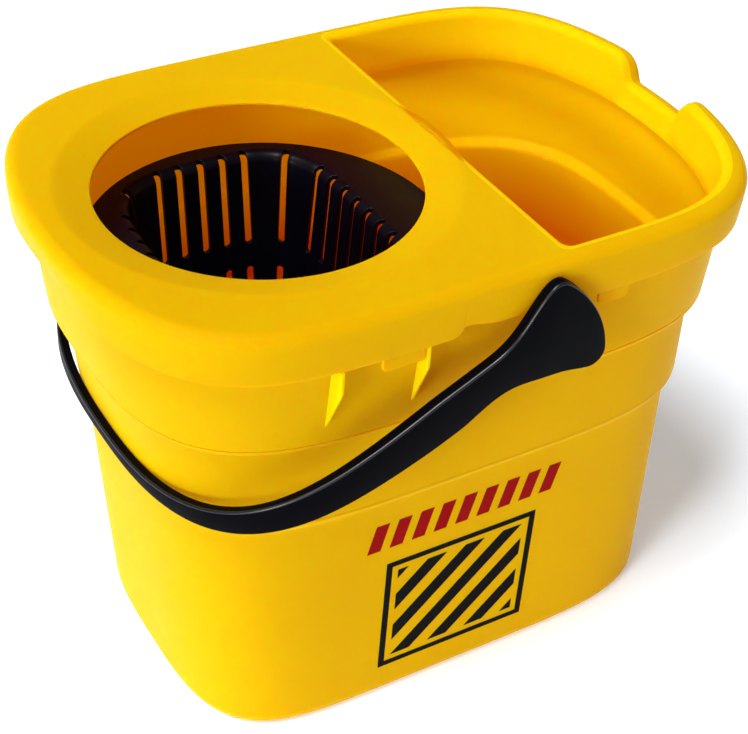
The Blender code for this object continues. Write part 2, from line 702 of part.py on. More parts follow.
def paddle_top(x):
    """Upper edge of an arm and its paddle: a concave rise to a rounded crown, then a fall."""
    arm = band_centre_z(x) + band_height(x) / 2
    if x <= CROWN_X:
        rise = smooth_step(-34 * MM, 17.5 * MM, x) ** 3
        return arm + (CROWN_Z - band_centre_z(CROWN_X) - band_height(CROWN_X) / 2) * rise
    fall = (x - CROWN_X) / (PADDLE_TIP_X - CROWN_X)
    return CROWN_Z - PADDLE_FALL * fall ** 1.45


def paddle_foot(x):
    """Lower edge of an arm and its paddle, which levels off towards the tip."""
    arm = band_centre_z(x) - band_height(x) / 2
    foot = arm + (PADDLE_LEVEL_Z - arm) * smooth_step(-34 * MM, 6 * MM, x)
    tip_round = 8 * MM
    return foot + 10 * MM * max(0.0, (x - PADDLE_TIP_X + tip_round) / tip_round) ** 3


def handle_plan():
    """(x, y, thickness) of the inner face, from the front paddle's tip round to the rear's."""
    end_power, side_power = BAND_POWERS
    reach = PIVOT_X - BAND_END_X
    arm_end = -34 * MM
    count = 18
    # Sections along an arm, closest together at the paddle's tip
    straight = [arm_end + (PADDLE_TIP_X - arm_end) * math.sin(math.pi / 2 * k / (count - 1))
                for k in reversed(range(count))]
    rows = [(x, -ARM_INNER_Y, ARM_THICKNESS) for x in straight]
    turns = 26
    for k in range(turns + 1):
        angle = -math.pi / 2 + math.pi * k / turns
        c, s = math.cos(angle), math.sin(angle)
        x = PIVOT_X - reach * max(c, 0.0) ** (2 / end_power)
        y = math.copysign(ARM_INNER_Y * abs(s) ** (2 / side_power), s)
        if x < arm_end - 8 * MM:
            share = smooth_step(-150 * MM, -60 * MM, x)
            rows.append((x, y, BAND_THICKNESS + (ARM_THICKNESS - BAND_THICKNESS) * share))
    rows += [(x, ARM_INNER_Y, ARM_THICKNESS) for x in reversed(straight)]
    return rows


def make_handle(look):
    """One band skinned through upright sections with bevelled edges."""
    plan = handle_plan()
    rings = []
    for k, (x, y, thickness) in enumerate(plan):
        before, after = plan[max(k - 1, 0)], plan[min(k + 1, len(plan) - 1)]
        along = (after[0] - before[0], after[1] - before[1])
        size = math.hypot(*along)
        out = (along[1] / size, -along[0] / size)
        if out[0] * (x - PIVOT_X) + out[1] * y < 0:
            out = (-out[0], -out[1])
        low, high = paddle_foot(x), paddle_top(x)
        bevel = min(BAND_BEVEL, (high - low) / 4)
        section = (
            (0.0, low + bevel / 2), (bevel / 2, low), (thickness - bevel, low),
            (thickness, low + bevel), (thickness, high - bevel), (thickness - bevel, high),
            (bevel / 2, high), (0.0, high - bevel / 2),
        )
        rings.append([(x + d * out[0], y + d * out[1], z) for d, z in section])
    bm = bmesh.new()
    add_rings(bm, rings, False)
    handle = finished("carry_handle", bm, look)
    for side in (-1, 1):
        y0, y1 = sorted((side * (ARM_INNER_Y - 10 * MM), side * (ARM_INNER_Y + ARM_THICKNESS - 2 * MM)))
        cut_with(handle, turned(
            "socket", ((PIN_RADIUS + GAP, y0), (PIN_RADIUS + GAP, y1)),
            None, PIVOT_X, PIVOT_Z, 24, False, "Y",
        ))
    set_origin(handle, (PIVOT_X, 0.0, PIVOT_Z))
    return handle


def make_handle_pin(name, side, look):
    """Headed pin, pushed through the skirt from inside into the paddle's socket."""
    tip = ARM_INNER_Y + ARM_THICKNESS - 2 * MM - GAP
    head = 135.0 * MM - GAP
    pin = turned(name, (
        (PIN_RADIUS - 0.5 * MM, side * tip), (PIN_RADIUS, side * (tip - 0.5 * MM)),
        (PIN_RADIUS, side * head), (PIN_HEAD_RADIUS, side * head),
        (PIN_HEAD_RADIUS, side * (head - 2.0 * MM)),
    ), look, PIVOT_X, PIVOT_Z, 24, False, "Y")
    set_origin(pin, (PIVOT_X, 0.0, PIVOT_Z))
    return pin


# ---------------------------------------------------------------- assembly

def build():
    yellow = material("yellow_plastic", (0.84, 0.52, 0.01), 0.4)
    cover_yellow = material("cover_plastic", (0.84, 0.52, 0.01), 0.4)
    black = material("black_plastic", (0.012, 0.012, 0.016), 0.35)
    basket_black = material("basket_plastic", (0.012, 0.012, 0.016), 0.38)
    grey = material("grey_nylon", (0.32, 0.32, 0.34), 0.5)
    steel = material("steel", (0.62, 0.62, 0.64), 0.3, 1.0)

    make_bucket(yellow)
    make_cover(cover_yellow)
    make_handle(black)
    make_handle_pin("handle_pin_front", -1, grey)
    make_handle_pin("handle_pin_rear", 1, grey)
    make_basket(basket_black)
    make_hub(grey)
    make_hub_cap(basket_black)
    for k, (x, y) in enumerate(screw_places(HUB_SCREW_CIRCLE), 1):
        make_screw(f"hub_screw_{k}", x, y, BASKET_FLOOR, 9 * MM, steel)
    make_bearing("lower_bearing", LOWER_BEARING_Z, steel)
    make_bearing("upper_bearing", UPPER_BEARING_Z, steel)
    make_sleeve(
        "bearing_spacer", SPINDLE_RADIUS + GAP, SPINDLE_RADIUS + 2 * MM,
        LOWER_BEARING_Z + BEARING_WIDTH + GAP, UPPER_BEARING_Z - GAP, steel,
    )
    make_sleeve(
        "thrust_washer", SPINDLE_RADIUS + GAP, SPINDLE_RADIUS + 3 * MM,
        PEDESTAL_TOP + 2 * MM + GAP, LOWER_BEARING_Z - GAP, steel,
    )
    make_spindle(steel)
    make_circlip(steel)
    make_nut(steel)
    make_sleeve(
        "spindle_washer", SPINDLE_RADIUS + GAP, WASHER_RADIUS,
        NUT_TOP + GAP, NUT_TOP + GAP + WASHER_THICKNESS, steel,
    )
    make_pedestal(grey)
    for k, (x, y) in enumerate(screw_places(PEDESTAL_SCREW_CIRCLE), 1):
        make_screw(f"pedestal_screw_{k}", x, y, BOSS_HEIGHT + GAP + 3 * MM, 10 * MM, steel)


for leftover in list(bpy.data.objects):
    bpy.data.objects.remove(leftover)
build()
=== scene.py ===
"""The spin mop bucket's looks: fine moulded shells over the plain solids, in metres, +Z up.

+X points to the pouring end; the camera stands towards -X and -Y. The moulded pieces repeat
the design's dimensions at a finer pitch, with the fillets, rolls and slots of the real mouldings.
Sizes below are in millimetres unless they say otherwise, and meshes turn them into metres.
"""

import math

import bmesh
import bpy
from mathutils import Matrix, Vector


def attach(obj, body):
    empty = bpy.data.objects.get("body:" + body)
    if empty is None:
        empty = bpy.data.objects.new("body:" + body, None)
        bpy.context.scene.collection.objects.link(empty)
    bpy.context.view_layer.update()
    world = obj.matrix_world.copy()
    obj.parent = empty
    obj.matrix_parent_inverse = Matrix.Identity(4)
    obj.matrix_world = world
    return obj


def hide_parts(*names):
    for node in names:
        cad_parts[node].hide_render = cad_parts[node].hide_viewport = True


MM = 0.001

# Camera: a long lens from above the front left corner
CAMERA_AZIMUTH = math.radians(-32.38)
CAMERA_ELEVATION = math.radians(37.46)
CAMERA_ROLL = math.radians(3.64)
CAMERA_DISTANCE = 1066.2 * MM
CAMERA_TARGET = Vector((16.7, 8.8, 151.7)) * MM
LENS, SENSOR_WIDTH = 83.65, 36
SHIFT = (-0.0138, 0.0015)

# Cover
HEIGHT, HALF_LENGTH, HALF_WIDTH = 317.6, 200.0, 138.9
CREST_POWERS = (5.9, 2.0)
WALL = 2.8
CEILING = HEIGHT - WALL
CREST_REACH, CREST_DROP = 6.5, 6.5  # the crest's outer roll, inwards and down
CREST_LEAD, INNER_LEAD = 1.0, 0.6  # narrow level strips between the deck and the two rolls
CREST_POINTS, COMPARTMENT_POINTS = 620, 300
SKIRT_FOOT, SKIRT_DRAFT = 288.6, 1.2
SKIRT_BOW = ((0.2, 14.0), (0.7, 7.0))  # (inset, rise) where the skirt's draft starts to show
FOOT_ROUND, FOOT_MIDDLE = 0.9, 0.25  # the skirt's foot: size and middle point of its two edge rounds
SKIRT_LEAN = 4.8  # how much further the skirt's foot leans in at the closed end
LEAN_START_X, LEAN_END_X, LEAN_HALF_WIDTH = -150.0, -185.0, 72.0  # where it starts, is whole, and ends
LONG_SIDE_Y = 100.0  # past this half width is a long side, where the foot has its relief
RIM_WIDTH = 13.0
INNER_ROLL = 4.5
LIP_FOOT, LIP_DRAFT, LIP_THICKNESS = 287.0, 2.5, 2.0
DECK_EDGE_X = 36.2
COMPARTMENT_CORNER = 6.0
STRAIGHT_PARTS = 30  # steps along the compartment's straight edge
HOLE_X, HOLE_RADIUS, HOLE_EDGE = -75.0, 88.7, 1.6
DISH_RADIUS, DISH_DEPTH = 108.3, 5.0
NOTCH_FLOOR = 302.0
NOTCH_HALF_FLOOR, NOTCH_HALF_TOP = 23.5, 30.6
NOTCH_FILLET, NOTCH_SHOULDER = 4.0, 9.0
NOTCH_END_X = 150.0  # the notch is past this x
NOTCH_WHOLE = HEIGHT - 8.0  # from here up the rim sinks whole, and less and less down to the lip's foot
NOTCH_MARGIN, NOTCH_BLEND = 12.0, 15.0  # beside the notch: width with fine spacing, width that may sink
CREST_NOTCH_DENSITY, EDGE_NOTCH_DENSITY = 9.0, 7.0
RELIEF_DENSITY, RELIEF_MARGIN = 8.0, 6.0
# The skirt's relief above the pivots: a round step up, then (x from, x to, rise) added to it
RELIEF_START, RELIEF_EDGE, RELIEF_RISE = -37.0, -30.6, 6.0
RELIEF = ((-30.0, -8.0, -3.8), (28.0, 47.0, -2.0), (75.0, 120.0, 1.2))
TABS = ((-76.5, -52.4, 281.0), (53.0, 72.6, 281.0))  # (x from, x to, foot)
TAB_RADIUS, TAB_HEAD = 3.0, SKIRT_FOOT + 4.0
TAB_SECTION = ((135.2, 0.35), (135.5, 0.0), (136.7, 0.0), (137.05, 0.35))  # (y, shrink) through a tab

# Bucket: (z, left x, right x, half width, end exponent, side exponent)
BUCKET_STEPS = (
    (0.0, -141.4, 172.2, 95.9, 5.8, 3.3),
    (2.0, -146.4, 177.2, 100.9, 5.8, 3.3),
    (7.0, -148.6, 179.4, 103.1, 5.8, 3.3),
    (163.5, -161.4, 176.6, 107.9, 5.7, 3.2),
    (169.5, -165.3, 184.8, 116.3, 4.4, 3.0),
    (226.6, -172.3, 183.6, 118.0, 4.4, 3.0),
    (230.5, -180.6, 189.2, 123.8, 4.4, 3.0),
    (289.5, -189.5, 192.1, 129.7, 5.9, 2.0),
    (293.5, -192.4, 193.5, 131.8, 5.9, 2.0),
    (311.0, -192.6, 193.6, 131.9, 5.9, 2.0),
)
BODY_FOOT, BODY_TOP, LOWER_TIER, UPPER_TIER = 2, 3, 4, 6  # places of the parts' steps in that list
STEP_ROUNDS = (2.0, 3.0, 5.0, 4.0, 3.0, 2.2, 3.0, 2.0)  # of the corners between those steps
BUCKET_POINTS = 260
STANDING_RING = 9.0  # width of the ring that the bucket stands on
PANEL_BEVEL, PANEL_LIFT = 1.5, 1.2  # the recessed panel inside that ring
FLOOR_THICKNESS, FLOOR_ROUND = 3.2, 6.0
INSIDE_START = 8.0  # above this height the inside follows the outside's steps
LEDGE_LIFT, LEDGE_TOP = 1.6, 289.0  # up to LEDGE_TOP the inside's ledges are this much higher
GROOVED_TIERS = (UPPER_TIER, LOWER_TIER)  # each has a fine groove above its foot
GROOVE_GAP, GROOVE_WIDTH, GROOVE_DEPTH = 2.3, 1.0, 0.5
RIBS = ((-99.0, 126.7, 121.7), (-50.0, 128.2, 123.8))  # x, and the root's y at the head and at the foot
RIB_HALF, RIB_EDGE = 0.9, 0.15  # half thickness, and its edges' round
RIB_REACH = 137.4  # y of its outer edge
RIB_FOOT, RIB_KNEE, RIB_HEAD = 243.0, 275.6, SKIRT_FOOT - 0.2
RIB_KNEE_ROUND = 1.0

# Basket
AXIS_X = -69.0
FLANGE_RADIUS, FLANGE_TOP = 101.5, 274.2
BASKET_FLOOR, BASKET_FLOOR_ROUND = 160.0, 6.0
MOUTH_HALF, FLOOR_HALF = (63.0, 87.0), (56.0, 74.0)
BASKET_CORNER = 3.8
BASKET_WALL = 3.2
MOUTH_ROLL = 3.0
FLANGE_SHARES = (1.0, 0.97, 0.7, 0.35, 0.1)  # how round the flange's rings are, from its rim inwards
FLOOR_SHARES = (0.8, 0.6, 0.4, 0.2)  # rings of the floor, towards the hub's bore
SLOT_WIDTH = 4.6
SIDE_SLOT_PITCH, SIDE_SLOTS = 13.8, 5
END_SLOT_PITCH, END_SLOTS = 13.2, 9
UPPER_SLOT_FOOT = 219.5
LOWER_SLOTS = (172.0, 204.0)
SLOT_SIDES = (-1.0, -0.5, 0.0, 0.5, 1.0)  # columns across a slot, from one side to the other
BAR_SHARES = (0.2, 0.5, 0.8)  # columns across a bar between two slots
CORNER_SLOT = 0.49  # a corner's own slot, and the plain columns on its two sides
CORNER_BEFORE, CORNER_AFTER = (0.1, 0.2, 0.3, 0.38), (0.6, 0.68, 0.78, 0.89)
BORE = 9.0
HUB_SEAT = BASKET_FLOOR + 0.35  # foot of the pieces on the basket's floor
HUB_SCREWS, HUB_SCREW_CIRCLE = 4, 26.0

# Carry handle
PIVOT_X = 17.5
ARM_INNER_Y, ARM_THICKNESS, BAND_THICKNESS = 139.7, 6.6, 5.6
ARM_END_X, BAND_END_X = -34.0, -167.4  # where the paddles start, and the band's far end
THICKNESS_BLEND = (-150, -60)  # between these x the band thickens to the arms
PADDLE_RINGS, BAND_RINGS = 52, 150
BAND_START_X, BAND_START_Z, BAND_FOOT_X = 22.0, 276.2, -170.0
BAND_DROP, BAND_DROP_BEND = 90.8, 6.8
BAND_HEIGHT_ARM, BAND_HEIGHT_END = 29.4, 7.0
BAND_TAPER, BAND_TAPER_POWER = 120.0, 0.64
BAND_POWERS = (5.9, 2.55)
CROWN_X, CROWN_Z = 23.0, 310.4
CROWN_RISE_END_X, CROWN_RISE_POWER = 21, 4
PADDLE_FALL, PADDLE_FALL_POWERS = 51.6, (1.2, 0.55)
PADDLE_LEVEL_X, PADDLE_LEVEL_Z = 14, 251.8
PADDLE_SAG, PADDLE_SAG_X = 2.6, (26, 48)  # between these x the level edge sinks a little
PADDLE_TIP_X, PADDLE_TIP_ROUND = 54.6, 9.0
HANDLE_BEVEL = 1.3
# These faces take a glossier black whose lighter colour is a painted highlight
EDGE_FACES = (8, 9, 10, 11)  # places of the outer top edge's faces in the handle's section

# Printed marks: heights of the ink's layers over the wall, from just inside it
INK = (-0.1, 0.1, 0.14)

# Looks: scales of the noise, painted glows (constant emissions that stand in for light coming through the
# yellow walls), and how far light spreads inside the yellow plastic
TINT_SCALE, GLOSS_SCALE, GRAIN_SCALE = 9.0, 60.0, 900.0
GLOSS_DRIFT, GRAIN_HEIGHT = 0.05, 0.4 * MM
# Painted glows: the outside's; the inside's, brighter as painted light; the one low inside, dimmer as
# painted shade; and the ribs', painted light
OUTSIDE_PAINTED_GLOW, INSIDE_PAINTED_GLOW = (0.17, 0.010, 0.0), (0.34, 0.088, 0.0)
BELOW_PAINTED_SHADE_GLOW, RIB_PAINTED_GLOW = (0.21, 0.006, 0.0), (0.20, 0.05, 0.0)
# Painted shade: going down between these heights, the inside turns to a darker copy with a dimmer glow
DEPTH_FADE = (0.178, 0.238)  # metres up, between which the inside turns to its upper colour
SPREAD_BY_COLOUR, SPREAD_REACH = (1.0, 0.2, 0.04), 6.0 * MM

# Studio
FLOOR_REACH = 6.0  # metres
FLOOR_COLOUR, FLOOR_ROUGHNESS, FLOOR_SPECULAR = (0.85, 0.90, 0.97), 0.8, 0.1
WHITE = (1.0, 1.0, 1.0, 1.0)
SUNS = (  # (name, where from, power, width in degrees)
    ("side_key", (-0.89, -0.37, 0.27), 2.6, 16),
    ("top_key", (-0.42, -0.09, 0.90), 3.2, 24),
)
SKY, FLOOR_GLOW = 0.23, 0.25


# ---------------------------------------------------------------- curves

def smooth_step(low, high, value):
    share = min(max((value - low) / (high - low), 0.0), 1.0)
    return share * share * (3 - 2 * share)


def mix(a, b, share):
    return tuple(p + (q - p) * share for p, q in zip(a, b))


def rounded(path, reaches, parts=5, most=0.48):
    """The path with its inner corners replaced by curves that start the given length before them.

    A curve takes at most the share most of the stretches beside its corner.
    """
    made = [tuple(path[0])]
    for before, corner, after, reach in zip(path, path[1:], path[2:], reaches):
        start = mix(corner, before, min(reach / math.dist(corner, before), most))
        end = mix(corner, after, min(reach / math.dist(corner, after), most))
        for k in range(parts + 1):
            made.append(mix(mix(start, corner, k / parts), mix(corner, end, k / parts), k / parts))
    made.append(tuple(path[-1]))
    return made


def arc(centre, radii, start, end, parts):
    """Points on a quarter of an ellipse or less, angles in degrees."""
    made = []
    for k in range(parts + 1):
        angle = math.radians(start + (end - start) * k / parts)
        made.append((centre[0] + radii[0] * math.cos(angle), centre[1] + radii[1] * math.sin(angle)))
    return made


def along(curve, x):
    """Height of a curve of (x, height) points at x."""
    for (x0, h0), (x1, h1) in zip(curve, curve[1:]):
        if x <= x1:
            return h0 + (h1 - h0) * max(x - x0, 0.0) / max(x1 - x0, 1e-9)
    return curve[-1][1]


def superellipse_point(turn, left, right, half_width, powers):
    """A point at the given fraction of a turn, starting on +X; the two ends may differ."""
    angle = 2 * math.pi * turn
    c, s = math.cos(angle), math.sin(angle)
    reach = right if c >= 0 else -left
    return (math.copysign(reach * abs(c) ** (2 / powers[0]), c),
            math.copysign(half_width * abs(s) ** (2 / powers[1]), s))


def spread(place, low, high, count, density=lambda x, y: 1.0, fine=4000):
    """Parameter values of a plan curve, closer together where it bends and where density asks."""
    points = [place(low + (high - low) * i / fine) for i in range(fine + 1)]
    steps = [math.dist(a, b) for a, b in zip(points, points[1:])]
    headings = [math.atan2(b[1] - a[1], b[0] - a[0]) for a, b in zip(points, points[1:])]
    length = sum(steps)
    passed = [0.0]
    for i, step in enumerate(steps):
        bend = abs(math.remainder(headings[i] - headings[max(i - 1, 0)], 2 * math.pi))
        passed.append(passed[-1] + step / length * density(*points[i]) + bend / (2 * math.pi))
    chosen, i = [], 0
    for k in range(count + 1):
        target = passed[-1] * k / count
        while i < fine - 1 and passed[i + 1] < target:
            i += 1
        share = (target - passed[i]) / max(passed[i + 1] - passed[i], 1e-12)
        chosen.append(low + (high - low) * (i + min(share, 1.0)) / fine)
    return chosen


# ---------------------------------------------------------------- meshes

class Shell:
    """A mesh in the making: rings of points in millimetres, skinned to each other."""

    def __init__(self):
        self.bm = bmesh.new()

    def ring(self, points):
        return [self.bm.verts.new(Vector(p) * MM) for p in points]

    def skin(self, low, high, closed=True):
        count = len(low)
        for k in range(count if closed else count - 1):
            n = (k + 1) % count
            self.bm.faces.new((low[k], low[n], high[n], high[k]))

    def stack(self, rings, closed=True, loop=False, caps=False):
        """Skins a stack of rings and returns their rows of vertices."""
        rows = [self.ring(points) for points in rings]
        for low, high in zip(rows, rows[1:] + (rows[:1] if loop else [])):
            self.skin(low, high, closed)
        if caps:
            self.bm.faces.new(rows[0][::-1])
            self.bm.faces.new(rows[-1])
        return rows

    def paint_from(self, start, index):
        """Gives the faces from the place start on a material index."""
        for face in list(self.bm.faces)[start:]:
            face.material_index = index

    def fill(self, *loops):
        """Fills the flat field between closed loops of vertices."""
        edges = []
        for loop in loops:
            for a, b in zip(loop, loop[1:] + loop[:1]):
                edges.append(self.bm.edges.get((a, b)) or self.bm.edges.new((a, b)))
        bmesh.ops.triangle_fill(self.bm, use_beauty=True, edges=edges, normal=(0, 0, 1))

    def object(self, name, look, body, replaces=(), sharp=35, recalc=True, modifiers=()):
        """Ends the mesh and returns it as a piece on its body; look may be one per material index."""
        if recalc:
            bmesh.ops.recalc_face_normals(self.bm, faces=self.bm.faces)
        mesh = bpy.data.meshes.new(name)
        self.bm.to_mesh(mesh)
        self.bm.free()
        looks = look if isinstance(look, tuple) else (look,)
        for each in looks:
            mesh.materials.append(each)
        piece = bpy.data.objects.new(name, mesh)
        bpy.context.scene.collection.objects.link(piece)
        for kind, settings in modifiers:
            modifier = piece.modifiers.new(kind.lower(), kind)
            for key, value in settings.items():
                setattr(modifier, key, value)
        if modifiers:
            graph = bpy.context.evaluated_depsgraph_get()
            piece.data = bpy.data.meshes.new_from_object(piece.evaluated_get(graph))
            piece.modifiers.clear()
            piece.data.name = name
        piece.data.shade_smooth()
        piece.data.set_sharp_from_angle(angle=math.radians(sharp))
        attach(piece, body)
        if replaces:
            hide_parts(*replaces)
        return piece


def turned_rings(profile, count, x=0.0, y=0.0):
    """Rings from (radius, height) points round an upright axis."""
    turns = [2 * math.pi * k / count for k in range(count)]
    return [[(x + r * math.cos(t), y + r * math.sin(t), z) for t in turns] for r, z in profile]


# ---------------------------------------------------------------- bucket

def bucket_ring(step, inset=0.0, lift=0.0):
    """Ring of the bucket's wall at a step, moved in and up."""
    z, left, right, half_width, *powers = step
    plan = [left + inset, right - inset, half_width - inset, powers]
    turns = spread(lambda t: superellipse_point(t, *plan), 0.0, 1.0, BUCKET_POINTS, fine=2000)[:-1]
    return [(*superellipse_point(t, *plan), z + lift) for t in turns]


def split_long(path, longest=16.0):
    """Adds even steps where two rings are far apart."""
    made = [path[0]]
    for before, after in zip(path, path[1:]):
        parts = max(1, math.ceil(abs(after[0] - before[0]) / longest))
        made += [mix(before, after, k / parts) for k in range(1, parts + 1)]
    return made


def body_wall_y(x, z):
    """Half width of the lower body at a place on its long side."""
    low, high = BUCKET_STEPS[BODY_FOOT], BUCKET_STEPS[BODY_TOP]
    _, left, right, half_width, end_power, side_power = mix(low, high, (z - low[0]) / (high[0] - low[0]))
    reach = right if x > 0 else -left
    return half_width * (1 - abs(x / reach) ** end_power) ** (1 / side_power)


def add_rib(shell, side, x, root_head, root_foot):
    """Thin upright rib that carries the skirt's foot and tapers to a point on the wall."""
    half, edge = RIB_HALF, RIB_EDGE
    outline = ((root_foot, RIB_FOOT), (RIB_REACH, RIB_KNEE), (RIB_REACH, RIB_HEAD))
    front = rounded(outline, (RIB_KNEE_ROUND,), 3)
    rings = []
    for place, shrink in ((-half, edge), (-half + edge, 0.0), (half - edge, 0.0), (half, edge)):
        points = [(root_head, RIB_HEAD)] + [(y - shrink, z + shrink / 2) for y, z in front]
        rings.append([(x + place, side * y, z) for y, z in points])
    shell.stack(rings, caps=True)


def grooved(path, tier):
    """The path with a fine groove just above the foot of a tier."""
    made, start = [], BUCKET_STEPS[tier][0] + GROOVE_GAP
    for step, after in zip(path, path[1:] + [None]):
        made.append(step)
        if after is None or not step[0] < start <= after[0]:
            continue
        for across, inset in ((0.0, 0.0), (0.25, GROOVE_DEPTH), (0.75, GROOVE_DEPTH), (1.0, 0.0)):
            share = (start + GROOVE_WIDTH * across - step[0]) / (after[0] - step[0])
            z, left, right, half_width, *powers = mix(step, after, share)
            made.append((z, left + inset, right - inset, half_width - inset, *powers))
    return made


def make_bucket(look, inside_painted_look, rib_painted_look):
    """Outside from the standing ring up, inside from the top down, then the ribs."""
    shell = Shell()
    outer = split_long(rounded(BUCKET_STEPS, STEP_ROUNDS))
    for tier in GROOVED_TIERS:
        outer = grooved(outer, tier)
    inner = split_long(rounded(BUCKET_STEPS[1:], STEP_ROUNDS[1:]))
    rings = [bucket_ring(BUCKET_STEPS[0], STANDING_RING + PANEL_BEVEL, PANEL_LIFT),
             bucket_ring(BUCKET_STEPS[0], STANDING_RING)]
    rings += [bucket_ring(step) for step in outer]
    outside_faces = (len(rings) - 1) * BUCKET_POINTS
    for step in reversed(inner):
        if step[0] > INSIDE_START:
            rings.append(bucket_ring(step, WALL, LEDGE_LIFT if step[0] < LEDGE_TOP else 0.0))
    plan = BUCKET_STEPS[BODY_FOOT][1:]
    centre = (WALL + FLOOR_ROUND, FLOOR_THICKNESS + FLOOR_ROUND)
    for inset, z in arc(centre, (FLOOR_ROUND, FLOOR_ROUND), 180, 270, 6):
        rings.append(bucket_ring((z, *plan), inset))
    rings.append(bucket_ring((FLOOR_THICKNESS, *plan), WALL + 2 * FLOOR_ROUND))
    rows = shell.stack(rings)
    shell.bm.faces.new(rows[-1])
    # The inner faces take the inside copy of the yellow, with its painted light and, lower down, its painted
    # shade
    shell.paint_from(outside_faces, 1)
    shell.bm.faces.new(rows[0][::-1])
    shell_faces = len(shell.bm.faces)
    for side in (-1, 1):
        for rib in RIBS:
            add_rib(shell, side, *rib)
    # The ribs take a brighter copy of the yellow, painted light on their faces
    shell.paint_from(shell_faces, 2)
    lower_notch(shell.bm)
    looks = (look, inside_painted_look, rib_painted_look)
    return shell.object("bucket_shell", looks, "bucket", ["bucket_body"])


# ---------------------------------------------------------------- cover

def notch_profile():
    """Height of the rim's top across the pouring notch, for y from the middle outwards."""
    path = ((0.0, NOTCH_FLOOR), (NOTCH_HALF_FLOOR, NOTCH_FLOOR), (NOTCH_HALF_TOP, HEIGHT),
            (NOTCH_HALF_TOP + 2 * NOTCH_BLEND, HEIGHT))
    return rounded(path, (NOTCH_FILLET, NOTCH_SHOULDER), 10)


NOTCH = notch_profile()


def lower_notch(bm):
    """Sinks the rim's right end into the pouring notch; the skirt and lip below give way."""
    for vertex in bm.verts:
        x, y, z = vertex.co / MM
        if x < NOTCH_END_X or z <= LIP_FOOT or abs(y) > NOTCH_HALF_TOP + NOTCH_BLEND:
            continue
        depth = HEIGHT - along(NOTCH, abs(y))
        vertex.co.z -= depth * min((z - LIP_FOOT) / (NOTCH_WHOLE - LIP_FOOT), 1.0) * MM


def near_notch(x, y):
    return x > NOTCH_END_X and abs(y) < NOTCH_HALF_TOP + NOTCH_MARGIN


def crest_density(x, y):
    """More points at the notch and at the skirt's step into its relief."""
    at_notch = CREST_NOTCH_DENSITY if near_notch(x, y) else 1.0
    at_relief = RELIEF_DENSITY if abs(x - RELIEF_EDGE) < RELIEF_MARGIN else 1.0
    return max(at_notch, at_relief)


def compartment_density(x, y):
    return EDGE_NOTCH_DENSITY if near_notch(x, y) else 1.0


def crest_place(inset):
    """The crest's outline, moved in, as a function of a fraction of a turn."""
    plan = (-HALF_LENGTH + inset, HALF_LENGTH - inset, HALF_WIDTH - inset, CREST_POWERS)
    return lambda turn: superellipse_point(turn, *plan)


def skirt_foot(x):
    """Height of the skirt's foot on a long side."""
    share = min(max((x - RELIEF_START) / (RELIEF_EDGE - RELIEF_START), 0.0), 1.0)
    step = RELIEF_RISE * (1 - math.sqrt(1 - share * share))
    return SKIRT_FOOT + step + sum(rise * smooth_step(start, end, x) for start, end, rise in RELIEF)


def leaning(x, y, z):
    """The point moved in towards the skirt's foot at the closed end, where the skirt has more draft."""
    down = smooth_step(HEIGHT - CREST_DROP, SKIRT_FOOT, z)
    across = 1 - smooth_step(0.0, LEAN_HALF_WIDTH, abs(y))
    return (x + SKIRT_LEAN * down * across * smooth_step(LEAN_START_X, LEAN_END_X, x), y, z)


def crest_rings():
    """Rings of the crest and skirt, from the deck over the outside to the deck's underside.

    The small offsets at the end round the corner between the skirt and the deck's underside.
    """
    turns = spread(crest_place(0.0), 0.0, 1.0, CREST_POINTS, crest_density)[:-1]
    roll = [(CREST_REACH + CREST_LEAD, HEIGHT)]
    roll += arc((CREST_REACH, HEIGHT - CREST_DROP), (CREST_REACH, CREST_DROP), 90, 180, 9)
    rings = [[(*crest_place(inset)(t), z) for t in turns] for inset, z in roll]
    inner = SKIRT_DRAFT + WALL
    foot = [*SKIRT_BOW,
            (SKIRT_DRAFT, FOOT_ROUND), (SKIRT_DRAFT + FOOT_MIDDLE, FOOT_MIDDLE),
            (SKIRT_DRAFT + FOOT_ROUND, 0.0),
            (inner - FOOT_ROUND, 0.0), (inner - FOOT_MIDDLE, FOOT_MIDDLE), (inner, FOOT_ROUND)]
    for inset, rise in foot:
        place = crest_place(inset)
        rings.append([leaning(x, y, skirt_foot(x) + rise if abs(y) > LONG_SIDE_Y else SKIRT_FOOT + rise)
                      for x, y in map(place, turns)])
    under = [(inner, CEILING - 4.0), (inner + 0.5, CEILING - 1.0), (inner + 2.0, CEILING)]
    rings += [[(*crest_place(inset)(t), z) for t in turns] for inset, z in under]
    return rings


def compartment_places():
    """The open compartment's ring as a function of (inset, height), with fixed spacing."""
    def limits(inset):
        edge = DECK_EDGE_X - (RIM_WIDTH - inset)
        cut = (edge + COMPARTMENT_CORNER) / (HALF_LENGTH - inset)
        return edge, math.acos(cut ** (CREST_POWERS[0] / 2)) / (2 * math.pi)

    _, widest = limits(RIM_WIDTH)
    turns = spread(crest_place(RIM_WIDTH), -widest, widest, COMPARTMENT_POINTS, compartment_density)
    shares = [t / widest for t in turns]

    def ring(inset, z):
        edge, limit = limits(inset)
        place, radius = crest_place(inset), COMPARTMENT_CORNER
        points = [(*place(share * limit), z) for share in shares]
        side = points[-1][1]
        centre = (edge + radius, side - radius)
        corner = arc(centre, (radius, radius), 90, 180, 10)[1:]
        straight = [(edge, corner[-1][1] * (1 - 2 * k / STRAIGHT_PARTS)) for k in range(1, STRAIGHT_PARTS)]
        mirrored = [(x, -y) for x, y in reversed(corner)]
        return points + [(x, y, z) for x, y in corner + straight + mirrored]
    return ring


